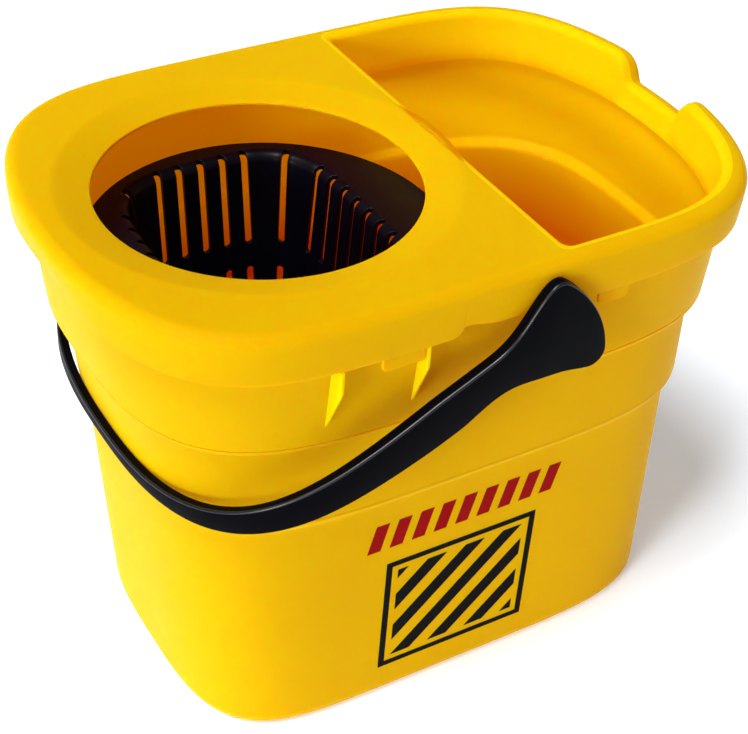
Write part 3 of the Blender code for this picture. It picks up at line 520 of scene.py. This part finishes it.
def compartment_rings():
    """Rings of the compartment's edge and lip, from the deck down inside and up outside.

    The small offsets round the two edges of the lip's foot, then the corner under the deck.
    """
    ring = compartment_places()
    roll = [(RIM_WIDTH - INNER_ROLL - INNER_LEAD, HEIGHT)]
    roll += arc((RIM_WIDTH - INNER_ROLL, HEIGHT - INNER_ROLL), (INNER_ROLL, INNER_ROLL), 90, 0, 8)
    drop = HEIGHT - INNER_ROLL - LIP_FOOT
    inner_foot = RIM_WIDTH + LIP_DRAFT
    outer_foot = inner_foot - LIP_THICKNESS
    path = roll + [(RIM_WIDTH + LIP_DRAFT * k / 4, HEIGHT - INNER_ROLL - drop * k / 4) for k in (1, 2, 3)]
    path += [(inner_foot, LIP_FOOT + 0.8), (inner_foot - 0.25, LIP_FOOT + 0.2), (inner_foot - 0.8, LIP_FOOT),
             (outer_foot + 0.6, LIP_FOOT), (outer_foot + 0.1, LIP_FOOT + 0.3), (outer_foot, LIP_FOOT + 0.9)]
    head = RIM_WIDTH - WALL
    path += [(head + 0.3, CEILING - 4.0), (head, CEILING - 1.0), (head - 1.5, CEILING)]
    return [ring(inset, z) for inset, z in path]


def dish_rings():
    """Rings of the dish round the hole, from the deck over the hole's edge to the underside.

    The small offsets blend the dish into the deck and round the hole's edge.
    """
    low = HEIGHT - DISH_DEPTH
    top = rounded(((DISH_RADIUS + 4.0, HEIGHT), (DISH_RADIUS, HEIGHT), (HOLE_RADIUS + 0.5, low + 0.1),
                   (HOLE_RADIUS, low - 0.4), (HOLE_RADIUS, low - HOLE_EDGE)),
                  (2.5, 0.4, 0.3), 5)
    under = [(HOLE_RADIUS + 0.4, low - HOLE_EDGE - 0.3), (HOLE_RADIUS + 2.2, low - WALL),
             (DISH_RADIUS + 0.5, CEILING - 0.4), (DISH_RADIUS + 3.0, CEILING)]
    return turned_rings(top + under, 160, HOLE_X)


def add_tab(shell, side, start, end, foot):
    """Rounded tab that hangs from inside the skirt, a little behind its face."""
    radius, top = TAB_RADIUS, TAB_HEAD
    outline = arc((start + radius, foot + radius), (radius, radius), 180, 270, 6)
    outline += arc((end - radius, foot + radius), (radius, radius), 270, 360, 6)
    outline += [(end, top), (start, top)]
    centre = ((start + end) / 2, (foot + top) / 2)
    rings = []
    for y, shrink in TAB_SECTION:
        scale = [1 - 2 * shrink / (end - start), 1 - 2 * shrink / (top - foot)]
        rings.append([(centre[0] + (x - centre[0]) * scale[0], side * y,
                       centre[1] + (z - centre[1]) * scale[1]) for x, z in outline])
    shell.stack(rings, caps=True)


def make_cover(look, inside_painted_look):
    """Crest, compartment and dish, joined by the deck's two flat faces, then the tabs."""
    shell = Shell()
    crest = shell.stack(crest_rings())
    crest_faces = len(shell.bm.faces)
    compartment = shell.stack(compartment_rings())
    # The compartment's faces take the inside copy of the yellow, with its painted light
    shell.paint_from(crest_faces, 1)
    dish = shell.stack(dish_rings())
    shell.fill(crest[0], compartment[0], dish[0])
    shell.fill(crest[-1], compartment[-1], dish[-1])
    lower_notch(shell.bm)
    for side in (-1, 1):
        for tab in TABS:
            add_tab(shell, side, *tab)
    looks = (look, inside_painted_look)
    return shell.object("cover_shell", looks, "bucket", ["top_cover"])


# ---------------------------------------------------------------- basket

def basket_wall_halves(z):
    """Half length and half width of the basket's wall at a height."""
    share = (z - BASKET_FLOOR) / (FLANGE_TOP - MOUTH_ROLL - BASKET_FLOOR)
    return mix(FLOOR_HALF, MOUTH_HALF, min(max(share, 0.0), 1.0))


def basket_column(column, halves, half_slot):
    """A point of the basket's wall from its centre: column is (wall, place, slot side)."""
    wall, place, slot_side = column
    half_x, half_y = halves
    power = BASKET_CORNER
    if wall in ("right", "left"):
        y = place + slot_side * half_slot
        x = half_x * (1 - abs(y / half_y) ** power) ** (1 / power)
        return (x if wall == "right" else -x, y)
    if wall in ("rear", "front"):
        x = place + slot_side * half_slot
        y = half_y * (1 - abs(x / half_x) ** power) ** (1 / power)
        return (x, y if wall == "rear" else -y)
    side_x, side_y = wall
    end = (END_SLOTS - 1) / 2 * END_SLOT_PITCH + SLOT_WIDTH / 2
    side = (SIDE_SLOTS - 1) / 2 * SIDE_SLOT_PITCH + SLOT_WIDTH / 2
    end_x, _ = basket_column(("right", end, 0), halves, 0.0)
    _, side_top = basket_column(("rear", side, 0), halves, 0.0)
    start, stop = math.atan2(end, end_x), math.atan2(side_top, side)
    bearing = start + (stop - start) * place
    for _ in range(2):
        c, s = math.cos(bearing), math.sin(bearing)
        radius = (abs(c / half_x) ** power + abs(s / half_y) ** power) ** (-1 / power)
        bearing = start + (stop - start) * place + slot_side * half_slot / radius
    return (side_x * radius * math.cos(bearing), side_y * radius * math.sin(bearing))


def basket_columns():
    """Columns all round, with five to a slot and three to a bar between slots."""
    def wall(name, pitch, count, turn):
        """Columns of one wall; turn is 1 or -1, along the wall's axis or against it."""
        columns = []
        for k in range(count):
            place = turn * (k - (count - 1) / 2) * pitch
            columns += [(name, place, turn * f) for f in SLOT_SIDES]
            if k < count - 1:
                bar = pitch - SLOT_WIDTH
                columns += [(name, place + turn * (SLOT_WIDTH / 2 + bar * f), 0.0) for f in BAR_SHARES]
        return columns

    def corner(side_x, side_y):
        """Columns of one corner, with its own slot."""
        columns = [((side_x, side_y), place, 0.0) for place in CORNER_BEFORE]
        columns += [((side_x, side_y), CORNER_SLOT, f) for f in SLOT_SIDES]
        columns += [((side_x, side_y), place, 0.0) for place in CORNER_AFTER]
        return columns if side_x * side_y > 0 else columns[::-1]

    columns = wall("right", END_SLOT_PITCH, END_SLOTS, 1) + corner(1, 1)
    columns += wall("rear", SIDE_SLOT_PITCH, SIDE_SLOTS, -1) + corner(-1, 1)
    columns += wall("left", END_SLOT_PITCH, END_SLOTS, -1) + corner(-1, -1)
    columns += wall("front", SIDE_SLOT_PITCH, SIDE_SLOTS, 1) + corner(1, -1)
    return columns


def basket_rows():
    """Rows from the top down: (offset outwards, height, slot half width, how round like the flange).

    A row whose slot half width is None crosses the slots' columns without opening them.
    """
    half = SLOT_WIDTH / 2
    cap = [(half * (1 - math.cos(math.radians(a))), half * math.sin(math.radians(a)))
           for a in (0, 18, 36, 54, 72, 90)]
    rows = [(MOUTH_ROLL, FLANGE_TOP, None, share) for share in FLANGE_SHARES]
    roll = [u for u, _ in cap] + [half + 0.8, half + 1.6, MOUTH_ROLL * math.pi / 2]
    widths = [w for _, w in cap] + [half] * 3
    for u, width in zip(roll, widths):
        turn = u / MOUTH_ROLL
        rows.append((MOUTH_ROLL * (1 - math.sin(turn)),
                     FLANGE_TOP - MOUTH_ROLL * (1 - math.cos(turn)), width, 0.0))
    start = FLANGE_TOP - MOUTH_ROLL
    rows += [(0.0, start + (UPPER_SLOT_FOOT + half - start) * k / 5, half, 0.0) for k in range(1, 5)]
    rows += [(0.0, UPPER_SLOT_FOOT + u, width, 0.0) for u, width in reversed(cap)]
    rows += [(0.0, (UPPER_SLOT_FOOT + LOWER_SLOTS[1]) / 2, None, 0.0)]
    rows += [(0.0, LOWER_SLOTS[1] - u, width, 0.0) for u, width in cap]
    low, high = LOWER_SLOTS[0] + half, LOWER_SLOTS[1] - half
    rows += [(0.0, high + (low - high) * k / 3, half, 0.0) for k in (1, 2)]
    rows += [(0.0, LOWER_SLOTS[0] + u, width, 0.0) for u, width in reversed(cap)]
    bend = BASKET_FLOOR_ROUND
    for inset, z in arc((bend, BASKET_FLOOR + bend), (bend, bend), 180, 270, 5):
        rows.append((-inset, z, None, 0.0))
    return rows


def make_basket(look):
    """A skin with open slots, from the flange's rim down to the bore, made into a wall."""
    columns, rows = basket_columns(), basket_rows()
    shell = Shell()
    places = {}

    def vertex(point):
        """The vertex at a place, where a slot's sides meet at its round ends."""
        key = tuple(round(v, 4) for v in point)
        if key not in places:
            places[key] = shell.bm.verts.new(Vector(point) * MM)
        return places[key]

    grid = []
    for offset, z, half_slot, circle in rows:
        halves = basket_wall_halves(z)
        halves = (halves[0] + offset, halves[1] + offset)
        ring = []
        for column in columns:
            x, y = basket_column(column, halves, SLOT_WIDTH / 2 if half_slot is None else half_slot)
            scale = 1 + circle * (FLANGE_RADIUS / math.hypot(x, y) - 1)
            ring.append(vertex((AXIS_X + x * scale, y * scale, z)))
        grid.append(ring)
    floor_halves = (FLOOR_HALF[0] - BASKET_FLOOR_ROUND, FLOOR_HALF[1] - BASKET_FLOOR_ROUND)
    for share in FLOOR_SHARES:
        ring = []
        for column in columns:
            x, y = basket_column(column, floor_halves, SLOT_WIDTH / 2)
            reach = math.hypot(x, y)
            scale = (BORE + (reach - BORE) * share) / reach
            ring.append(vertex((AXIS_X + x * scale, y * scale, BASKET_FLOOR)))
        grid.append(ring)
    count = len(columns)
    for r, (above, below) in enumerate(zip(grid, grid[1:])):
        open_row = r + 1 < len(rows) and rows[r][2] is not None and rows[r + 1][2] is not None
        for k in range(count):
            n = (k + 1) % count
            in_slot = abs(columns[k][2] - columns[n][2]) == 0.5  # neighbours among SLOT_SIDES
            if open_row and in_slot:
                continue
            corners = list(dict.fromkeys((above[k], above[n], below[n], below[k])))
            if len(corners) > 2:
                shell.bm.faces.new(corners[::-1])
    return shell.object(
        "basket_shell", look, "basket", ["spin_basket"], sharp=40, recalc=False,
        modifiers=(
            ("SOLIDIFY", {"thickness": BASKET_WALL * MM, "offset": -1.0}),
            ("BEVEL", {"width": 0.3 * MM, "segments": 2, "limit_method": "ANGLE",
                       "angle_limit": math.radians(50), "use_clamp_overlap": False}),
        ))


# ---------------------------------------------------------------- hub cap and screws

def make_hub_cap(look):
    """Low domed cap with a spigot that sits in the basket's bore."""
    seat, inside, spigot, rim = HUB_SEAT, 7.0, 8.4, 15.0
    foot, dome = seat - 1.2, (14.6, 4.6)
    profile = [(inside, seat + 2.0), (inside, foot), (spigot, foot), (spigot, seat), (rim - 0.3, seat),
               (rim, seat + 0.3), (rim, seat + 1.2), (rim - 0.2, seat + 1.6)]
    profile += arc((0.0, seat + 1.8), dome, 2, 84, 10)
    shell = Shell()
    shell.stack(turned_rings(profile, 72, AXIS_X), caps=True)
    return shell.object("hub_cap_shell", look, "basket", ["hub_cap"], sharp=50)


def make_hub_screw(look, number, x, y):
    """Round-headed screw with a hexagon socket."""
    seat, count, socket = HUB_SEAT, 48, 1.5
    shank, head, shoulder, dome = 1.9, 4.0, seat + 1.1, (1.8, 1.25)
    profile = [(shank, seat - 5.0), (shank, seat), (head - 0.1, seat), (head, seat + 0.15), (head, shoulder)]
    profile += arc((head - dome[0], shoulder), dome, 20, 90, 5)
    rings = turned_rings(profile, count, x, y)
    hexagon = []
    for k in range(count):
        turn = 2 * math.pi * k / count
        radius = socket / math.cos(math.remainder(turn, math.pi / 3))
        hexagon.append((x + radius * math.cos(turn), y + radius * math.sin(turn)))
    for z in (shoulder + dome[1], seat + 0.9):
        rings.append([(corner_x, corner_y, z) for corner_x, corner_y in hexagon])
    shell = Shell()
    shell.stack(rings, caps=True)
    node = f"hub_screw_{number}"
    return shell.object(f"{node}_fine", look, "basket", [node])


# ---------------------------------------------------------------- handle

def band_centre_z(x):
    """Height of the band's middle line, which falls towards the closed end."""
    share = (BAND_START_X - x) / (BAND_START_X - BAND_FOOT_X)
    return BAND_START_Z - BAND_DROP * share - BAND_DROP_BEND * share * share


def band_height(x):
    """The band's upright width, which tapers towards the closed end."""
    share = min(max((x - BAND_END_X) / BAND_TAPER, 0.0), 1.0)
    return BAND_HEIGHT_END + (BAND_HEIGHT_ARM - BAND_HEIGHT_END) * share ** BAND_TAPER_POWER


def paddle_top(x):
    """Upper edge of an arm and its paddle: a concave rise to the crown, then a round fall."""
    arm = band_centre_z(x) + band_height(x) / 2
    if x <= CROWN_X:
        return arm + (CROWN_Z - arm) * smooth_step(ARM_END_X, CROWN_RISE_END_X, x) ** CROWN_RISE_POWER
    fall = min((x - CROWN_X) / (PADDLE_TIP_X - CROWN_X), 1.0)
    start_power, end_power = PADDLE_FALL_POWERS
    return CROWN_Z - PADDLE_FALL * (1 - (1 - fall ** start_power) ** end_power)


def paddle_foot(x):
    """Lower edge of an arm and its paddle, which levels off and rounds up at the tip."""
    arm = band_centre_z(x) - band_height(x) / 2
    foot = arm + (PADDLE_LEVEL_Z - arm) * smooth_step(ARM_END_X, PADDLE_LEVEL_X, x)
    foot -= PADDLE_SAG * smooth_step(*PADDLE_SAG_X, x)
    inside = min(max((x - PADDLE_TIP_X + PADDLE_TIP_ROUND) / PADDLE_TIP_ROUND, 0.0), 1.0)
    return foot + PADDLE_TIP_ROUND * (1 - math.sqrt(1 - inside * inside))


def handle_plan():
    """(x, y, thickness) of the inner face, from one paddle's tip round to the other's."""
    reach = PIVOT_X - BAND_END_X
    straight = [ARM_END_X + (PADDLE_TIP_X - ARM_END_X) * math.sin(math.pi / 2 * k / (PADDLE_RINGS - 1))
                for k in reversed(range(PADDLE_RINGS))]
    rows = [(x, -ARM_INNER_Y, ARM_THICKNESS) for x in straight]

    def place(turn):
        angle = -math.pi / 2 + math.pi * turn
        c, s = math.cos(angle), math.sin(angle)
        return (PIVOT_X - reach * max(c, 0.0) ** (2 / BAND_POWERS[0]),
                math.copysign(ARM_INNER_Y * abs(s) ** (2 / BAND_POWERS[1]), s))

    for turn in spread(place, 0.0, 1.0, BAND_RINGS):
        x, y = place(turn)
        if x < ARM_END_X - 2:
            share = smooth_step(*THICKNESS_BLEND, x)
            rows.append((x, y, BAND_THICKNESS + (ARM_THICKNESS - BAND_THICKNESS) * share))
    return rows + [(x, ARM_INNER_Y, ARM_THICKNESS) for x in reversed(straight)]


def handle_section(thickness, low, high, bevel):
    """Corners of an upright section, rounded more on its outside, as (outwards, height)."""
    small = bevel / 2
    points = arc((small, low + small), (small, small), 180, 270, 2)
    points += arc((thickness - bevel, low + bevel), (bevel, bevel), 270, 360, 4)
    points += arc((thickness - bevel, high - bevel), (bevel, bevel), 0, 90, 4)
    return points + arc((small, high - small), (small, small), 90, 180, 2)


def make_handle(look, edge_gloss_and_highlight_look):
    """The whole band: upright sections square to the plan, with an outer top edge that is glossier and
    lighter, partly real gloss and partly a painted highlight.
    """
    plan = handle_plan()
    rings = []
    for k, (x, y, thickness) in enumerate(plan):
        before, after = plan[max(k - 1, 0)], plan[min(k + 1, len(plan) - 1)]
        along_x, along_y = after[0] - before[0], after[1] - before[1]
        size = math.hypot(along_x, along_y)
        out = (along_y / size, -along_x / size)
        if out[0] * (x - PIVOT_X) + out[1] * y < 0:
            out = (-out[0], -out[1])
        low, high = paddle_foot(x), paddle_top(x)
        bevel = min(HANDLE_BEVEL, (high - low) / 4)
        rings.append([(x + d * out[0], y + d * out[1], z)
                      for d, z in handle_section(thickness, low, high, bevel)])
    shell = Shell()
    shell.stack(rings, caps=True)
    count = len(rings[0])
    for number, face in enumerate(shell.bm.faces):
        if number % count in EDGE_FACES:
            face.material_index = 1
    looks = (look, edge_gloss_and_highlight_look)
    return shell.object("handle_band", looks, "handle", ["carry_handle"], sharp=50)


# ---------------------------------------------------------------- printed marks

def clipped(points, inside, cross):
    """A polygon cut by a line: inside tells the side, cross gives the crossing of an edge."""
    kept = []
    for a, b in zip(points, points[1:] + points[:1]):
        if inside(a):
            kept.append(a)
        if inside(a) != inside(b):
            kept.append(cross(a, b))
    return kept


def clip_to_box(points, low, high):
    """A polygon cut by an upright box's four sides."""
    for axis in (0, 1):
        for limit, sign in ((low[axis], 1), (high[axis], -1)):
            points = clipped(
                points, lambda p: sign * (p[axis] - limit) >= 0,
                lambda a, b: mix(a, b, (limit - a[axis]) / (b[axis] - a[axis])),
            )
    return points


def add_plate(shell, points):
    """A thin plate on the near body wall from (x, z) corners."""
    def ring(rise):
        return [(x, -body_wall_y(x, z) - rise, z) for x, z in points]
    shell.stack([ring(rise) for rise in INK], caps=True)


def make_red_marks(look):
    """A plain row of slanted bars."""
    shell = Shell()
    count, start, pitch, width, slant = 9, -60.0, 14.5, 8.5, 5.0
    low, high = 125.0, 145.0
    for k in range(count):
        x = start + pitch * k
        add_plate(shell, [(x, low), (x + width, low), (x + width + slant, high), (x + slant, high)])
    return shell.object("printed_bars", look, "bucket")


def make_black_marks(look):
    """A plain panel of diagonal stripes inside a frame."""
    shell = Shell()
    low, high, border = (-46.0, 24.0), (56.0, 112.0), 4.0
    x0, z0, x1, z1 = *low, *high
    for box in (((x0, z0), (x1, z0 + border)), ((x0, z1 - border), (x1, z1)),
                ((x0, z0 + border), (x0 + border, z1 - border)),
                ((x1 - border, z0 + border), (x1, z1 - border))):
        (a, b), (c, d) = box
        add_plate(shell, [(a, b), (c, b), (c, d), (a, d)])
    inner_low, inner_high = (x0 + 2 * border, z0 + 2 * border), (x1 - 2 * border, z1 - 2 * border)
    pitch, width, stripes_each_way = 26.0, 13.0, 4  # enough of them to fill the panel once clipped
    rise = inner_high[1] - inner_low[1]
    for k in range(-stripes_each_way, stripes_each_way + 1):
        x = inner_low[0] + pitch * k
        stripe = [(x, inner_low[1]), (x + width, inner_low[1]),
                  (x + width + rise, inner_high[1]), (x + rise, inner_high[1])]
        stripe = clip_to_box(stripe, inner_low, inner_high)
        if len(stripe) > 2:
            add_plate(shell, stripe)
    return shell.object("printed_panel", look, "bucket")


# ---------------------------------------------------------------- materials

def plastic(name, colour, deep, roughness, specular=0.3, grain=0.05, painted_glow=None, metallic=0.0, below=None):
    """Material whose colour and gloss drift slightly, with a fine grain that breaks the highlights.

    Its glow is a painted glow: a constant emission that stands in for light coming through a yellow wall.
    Below is the (colour, glow) that the material turns to, down inside the bucket: a darker copy with a
    dimmer glow, painted shade.
    """
    made = bpy.data.materials.new(name)
    made.use_nodes = True
    nodes, links = made.node_tree.nodes, made.node_tree.links
    shader = nodes["Principled BSDF"]
    where = nodes.new("ShaderNodeTexCoord").outputs["Object"]

    def noise(scale, detail=3.0):
        texture = nodes.new("ShaderNodeTexNoise")
        texture.inputs["Scale"].default_value = scale
        texture.inputs["Detail"].default_value = detail
        links.new(where, texture.inputs["Vector"])
        return texture.outputs["Fac"]

    def spread_over(fac, low, high, start=0.3, end=0.7):
        ramp = nodes.new("ShaderNodeMapRange")
        ramp.inputs["From Min"].default_value = start
        ramp.inputs["From Max"].default_value = end
        ramp.inputs["To Min"].default_value = low
        ramp.inputs["To Max"].default_value = high
        links.new(fac, ramp.inputs["Value"])
        return ramp.outputs["Result"]

    def blend(fac, first, second):
        mixer = nodes.new("ShaderNodeMix")
        mixer.data_type = "RGBA"
        links.new(fac, mixer.inputs[0])
        for place, value in ((6, first), (7, second)):
            if isinstance(value, tuple):
                mixer.inputs[place].default_value = (*value, 1.0)
            else:
                links.new(value, mixer.inputs[place])
        return mixer.outputs[2]

    tint = blend(spread_over(noise(TINT_SCALE), 0.0, 1.0), colour, deep)
    # Painted shade: down inside the bucket the colour and the glow fade to darker, dimmer ones
    if below:
        axes = nodes.new("ShaderNodeSeparateXYZ")
        links.new(where, axes.inputs["Vector"])
        depth = spread_over(axes.outputs["Z"], 1.0, 0.0, *DEPTH_FADE)
        tint = blend(depth, tint, below[0])
        links.new(blend(depth, painted_glow, below[1]), shader.inputs["Emission Color"])
    links.new(tint, shader.inputs["Base Color"])
    gloss = spread_over(noise(GLOSS_SCALE), roughness - GLOSS_DRIFT, roughness + GLOSS_DRIFT)
    links.new(gloss, shader.inputs["Roughness"])
    bump = nodes.new("ShaderNodeBump")
    bump.inputs["Strength"].default_value = grain
    bump.inputs["Distance"].default_value = GRAIN_HEIGHT
    links.new(noise(GRAIN_SCALE, detail=2.0), bump.inputs["Height"])
    links.new(bump.outputs["Normal"], shader.inputs["Normal"])
    shader.inputs["Metallic"].default_value = metallic
    shader.inputs["Specular IOR Level"].default_value = specular
    # Painted glow: a constant emission, so the yellow gives off light though it is no lamp
    if painted_glow:
        shader.inputs["Subsurface Weight"].default_value = 1.0
        shader.inputs["Subsurface Radius"].default_value = SPREAD_BY_COLOUR
        shader.inputs["Subsurface Scale"].default_value = SPREAD_REACH
        shader.inputs["Emission Color"].default_value = (*painted_glow, 1.0)
        shader.inputs["Emission Strength"].default_value = 1.0
    return made


# ---------------------------------------------------------------- stage

def add_camera():
    """The camera, aimed at its target and turned about its own axis."""
    az, el, roll = CAMERA_AZIMUTH, CAMERA_ELEVATION, CAMERA_ROLL
    back = Vector((math.sin(az) * math.cos(el), -math.cos(az) * math.cos(el), math.sin(el)))
    across = Vector((0, 0, 1)).cross(back).normalized()
    up = back.cross(across)
    right = math.cos(roll) * across + math.sin(roll) * up
    top = -math.sin(roll) * across + math.cos(roll) * up
    camera = bpy.data.objects.new("camera", bpy.data.cameras.new("camera"))
    camera.data.lens = LENS
    camera.data.sensor_width = SENSOR_WIDTH
    camera.data.shift_x, camera.data.shift_y = SHIFT
    turn = Matrix((right, top, back)).transposed().to_4x4()
    camera.matrix_world = Matrix.Translation(CAMERA_TARGET + back * CAMERA_DISTANCE) @ turn
    bpy.context.scene.collection.objects.link(camera)
    bpy.context.scene.camera = camera


def add_sun(name, where, power, width):
    """A distant soft lamp that shines from the given direction."""
    data = bpy.data.lights.new(name, "SUN")
    data.energy = power
    data.angle = math.radians(width)
    lamp = bpy.data.objects.new(name, data)
    lamp.matrix_world = Vector(where).to_track_quat("Z", "Y").to_matrix().to_4x4()
    bpy.context.scene.collection.objects.link(lamp)


def add_stage():
    """A pale floor, a soft studio sky and the lamps."""
    bm = bmesh.new()
    reach = FLOOR_REACH
    bm.faces.new([bm.verts.new(p) for p in
                  ((-reach, -reach, 0), (reach, -reach, 0), (reach, reach, 0), (-reach, reach, 0))])
    mesh = bpy.data.meshes.new("floor")
    bm.to_mesh(mesh)
    bm.free()
    floor = bpy.data.objects.new("floor", mesh)
    bpy.context.scene.collection.objects.link(floor)
    look = bpy.data.materials.new("floor")
    look.use_nodes = True
    shader = look.node_tree.nodes["Principled BSDF"]
    shader.inputs["Base Color"].default_value = (*FLOOR_COLOUR, 1.0)
    shader.inputs["Roughness"].default_value = FLOOR_ROUGHNESS
    shader.inputs["Specular IOR Level"].default_value = FLOOR_SPECULAR
    shader.inputs["Emission Color"].default_value = WHITE
    shader.inputs["Emission Strength"].default_value = FLOOR_GLOW
    mesh.materials.append(look)
    world = bpy.data.worlds.new("studio")
    world.use_nodes = True
    sky = world.node_tree.nodes["Background"]
    sky.inputs["Color"].default_value = WHITE
    sky.inputs["Strength"].default_value = SKY
    bpy.context.scene.world = world
    bpy.context.scene.view_settings.view_transform = "Standard"
    for lamp in SUNS:
        add_sun(*lamp)


# ---------------------------------------------------------------- assembly

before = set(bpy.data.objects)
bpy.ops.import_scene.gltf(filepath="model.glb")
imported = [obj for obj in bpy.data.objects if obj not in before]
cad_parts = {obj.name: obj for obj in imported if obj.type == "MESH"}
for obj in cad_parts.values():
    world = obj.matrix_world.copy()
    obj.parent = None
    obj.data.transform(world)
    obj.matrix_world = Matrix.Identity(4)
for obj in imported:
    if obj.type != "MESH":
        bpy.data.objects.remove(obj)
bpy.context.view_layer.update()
add_camera()
add_stage()

# The yellow plastic carries a painted glow, a constant emission standing in for light through its walls
yellow = plastic(
    "moulded_yellow", (0.50, 0.350, 0.001), (0.48, 0.330, 0.0008),
    roughness=0.42, specular=0.01, painted_glow=OUTSIDE_PAINTED_GLOW)
# Painted light and shade: a copy of the yellow for the inner walls of the bucket and the compartment. It is
# brighter and glows more as painted light, and turns to painted shade down inside the bucket.
inside_yellow_painted_light_and_shade = plastic(
    "inside_yellow_painted_light_and_shade", (0.52, 0.420, 0.001), (0.50, 0.400, 0.0008),
    roughness=0.42, specular=0.01, painted_glow=INSIDE_PAINTED_GLOW, below=((0.40, 0.15, 0.001), BELOW_PAINTED_SHADE_GLOW))
black = plastic(
    "moulded_black", (0.0013, 0.0013, 0.0023), (0.0010, 0.0010, 0.0020), roughness=0.45, specular=0.02)
# Painted highlight: a lighter black for the handle's outer top edge, glossier too
black_edge_gloss_and_painted_highlight = plastic(
    "black_edge_gloss_and_painted_highlight", (0.006, 0.006, 0.009), (0.005, 0.005, 0.008), roughness=0.30, specular=0.4)
basket_black = plastic(
    "basket_black", (0.0014, 0.0012, 0.0040), (0.001, 0.001, 0.0030), roughness=0.36, specular=0.13)
# Painted light: a brighter, greener copy of the yellow with its own painted glow, for the ribs
rib_yellow_painted_light = plastic(
    "rib_yellow_painted_light", (0.55, 0.50, 0.001), (0.53, 0.48, 0.0008), roughness=0.42, specular=0.01, painted_glow=RIB_PAINTED_GLOW)
grey = plastic("grey_nylon", (0.30, 0.30, 0.32), (0.26, 0.26, 0.28), roughness=0.5)
steel = plastic(
    "bright_steel", (0.62, 0.62, 0.64), (0.55, 0.55, 0.58), roughness=0.28, specular=0.5, metallic=1.0)
red_print = plastic(
    "red_print", (0.27, 0.0008, 0.0010), (0.25, 0.0007, 0.0009), roughness=0.45, specular=0.02)
black_print = plastic(
    "black_print", (0.003, 0.0026, 0.003), (0.0026, 0.0022, 0.0026), roughness=0.45, specular=0.02)

LOOKS = {
    "yellow_plastic": yellow, "cover_plastic": yellow, "black_plastic": black,
    "basket_plastic": basket_black, "grey_nylon": grey, "steel": steel,
}
# The plain solids that stay visible take the look of their own material's name
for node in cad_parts.values():
    for slot in node.material_slots:
        slot.material = LOOKS[slot.material.name.split(".")[0]]

make_bucket(yellow, inside_yellow_painted_light_and_shade, rib_yellow_painted_light)
make_cover(yellow, inside_yellow_painted_light_and_shade)
make_basket(basket_black)
make_hub_cap(basket_black)
for number in range(1, HUB_SCREWS + 1):
    angle = math.pi / 4 + 2 * math.pi / HUB_SCREWS * (number - 1)
    across, aside = HUB_SCREW_CIRCLE * math.cos(angle), HUB_SCREW_CIRCLE * math.sin(angle)
    make_hub_screw(steel, number, AXIS_X + across, aside)
make_handle(black, black_edge_gloss_and_painted_highlight)
make_red_marks(red_print)
make_black_marks(black_print)
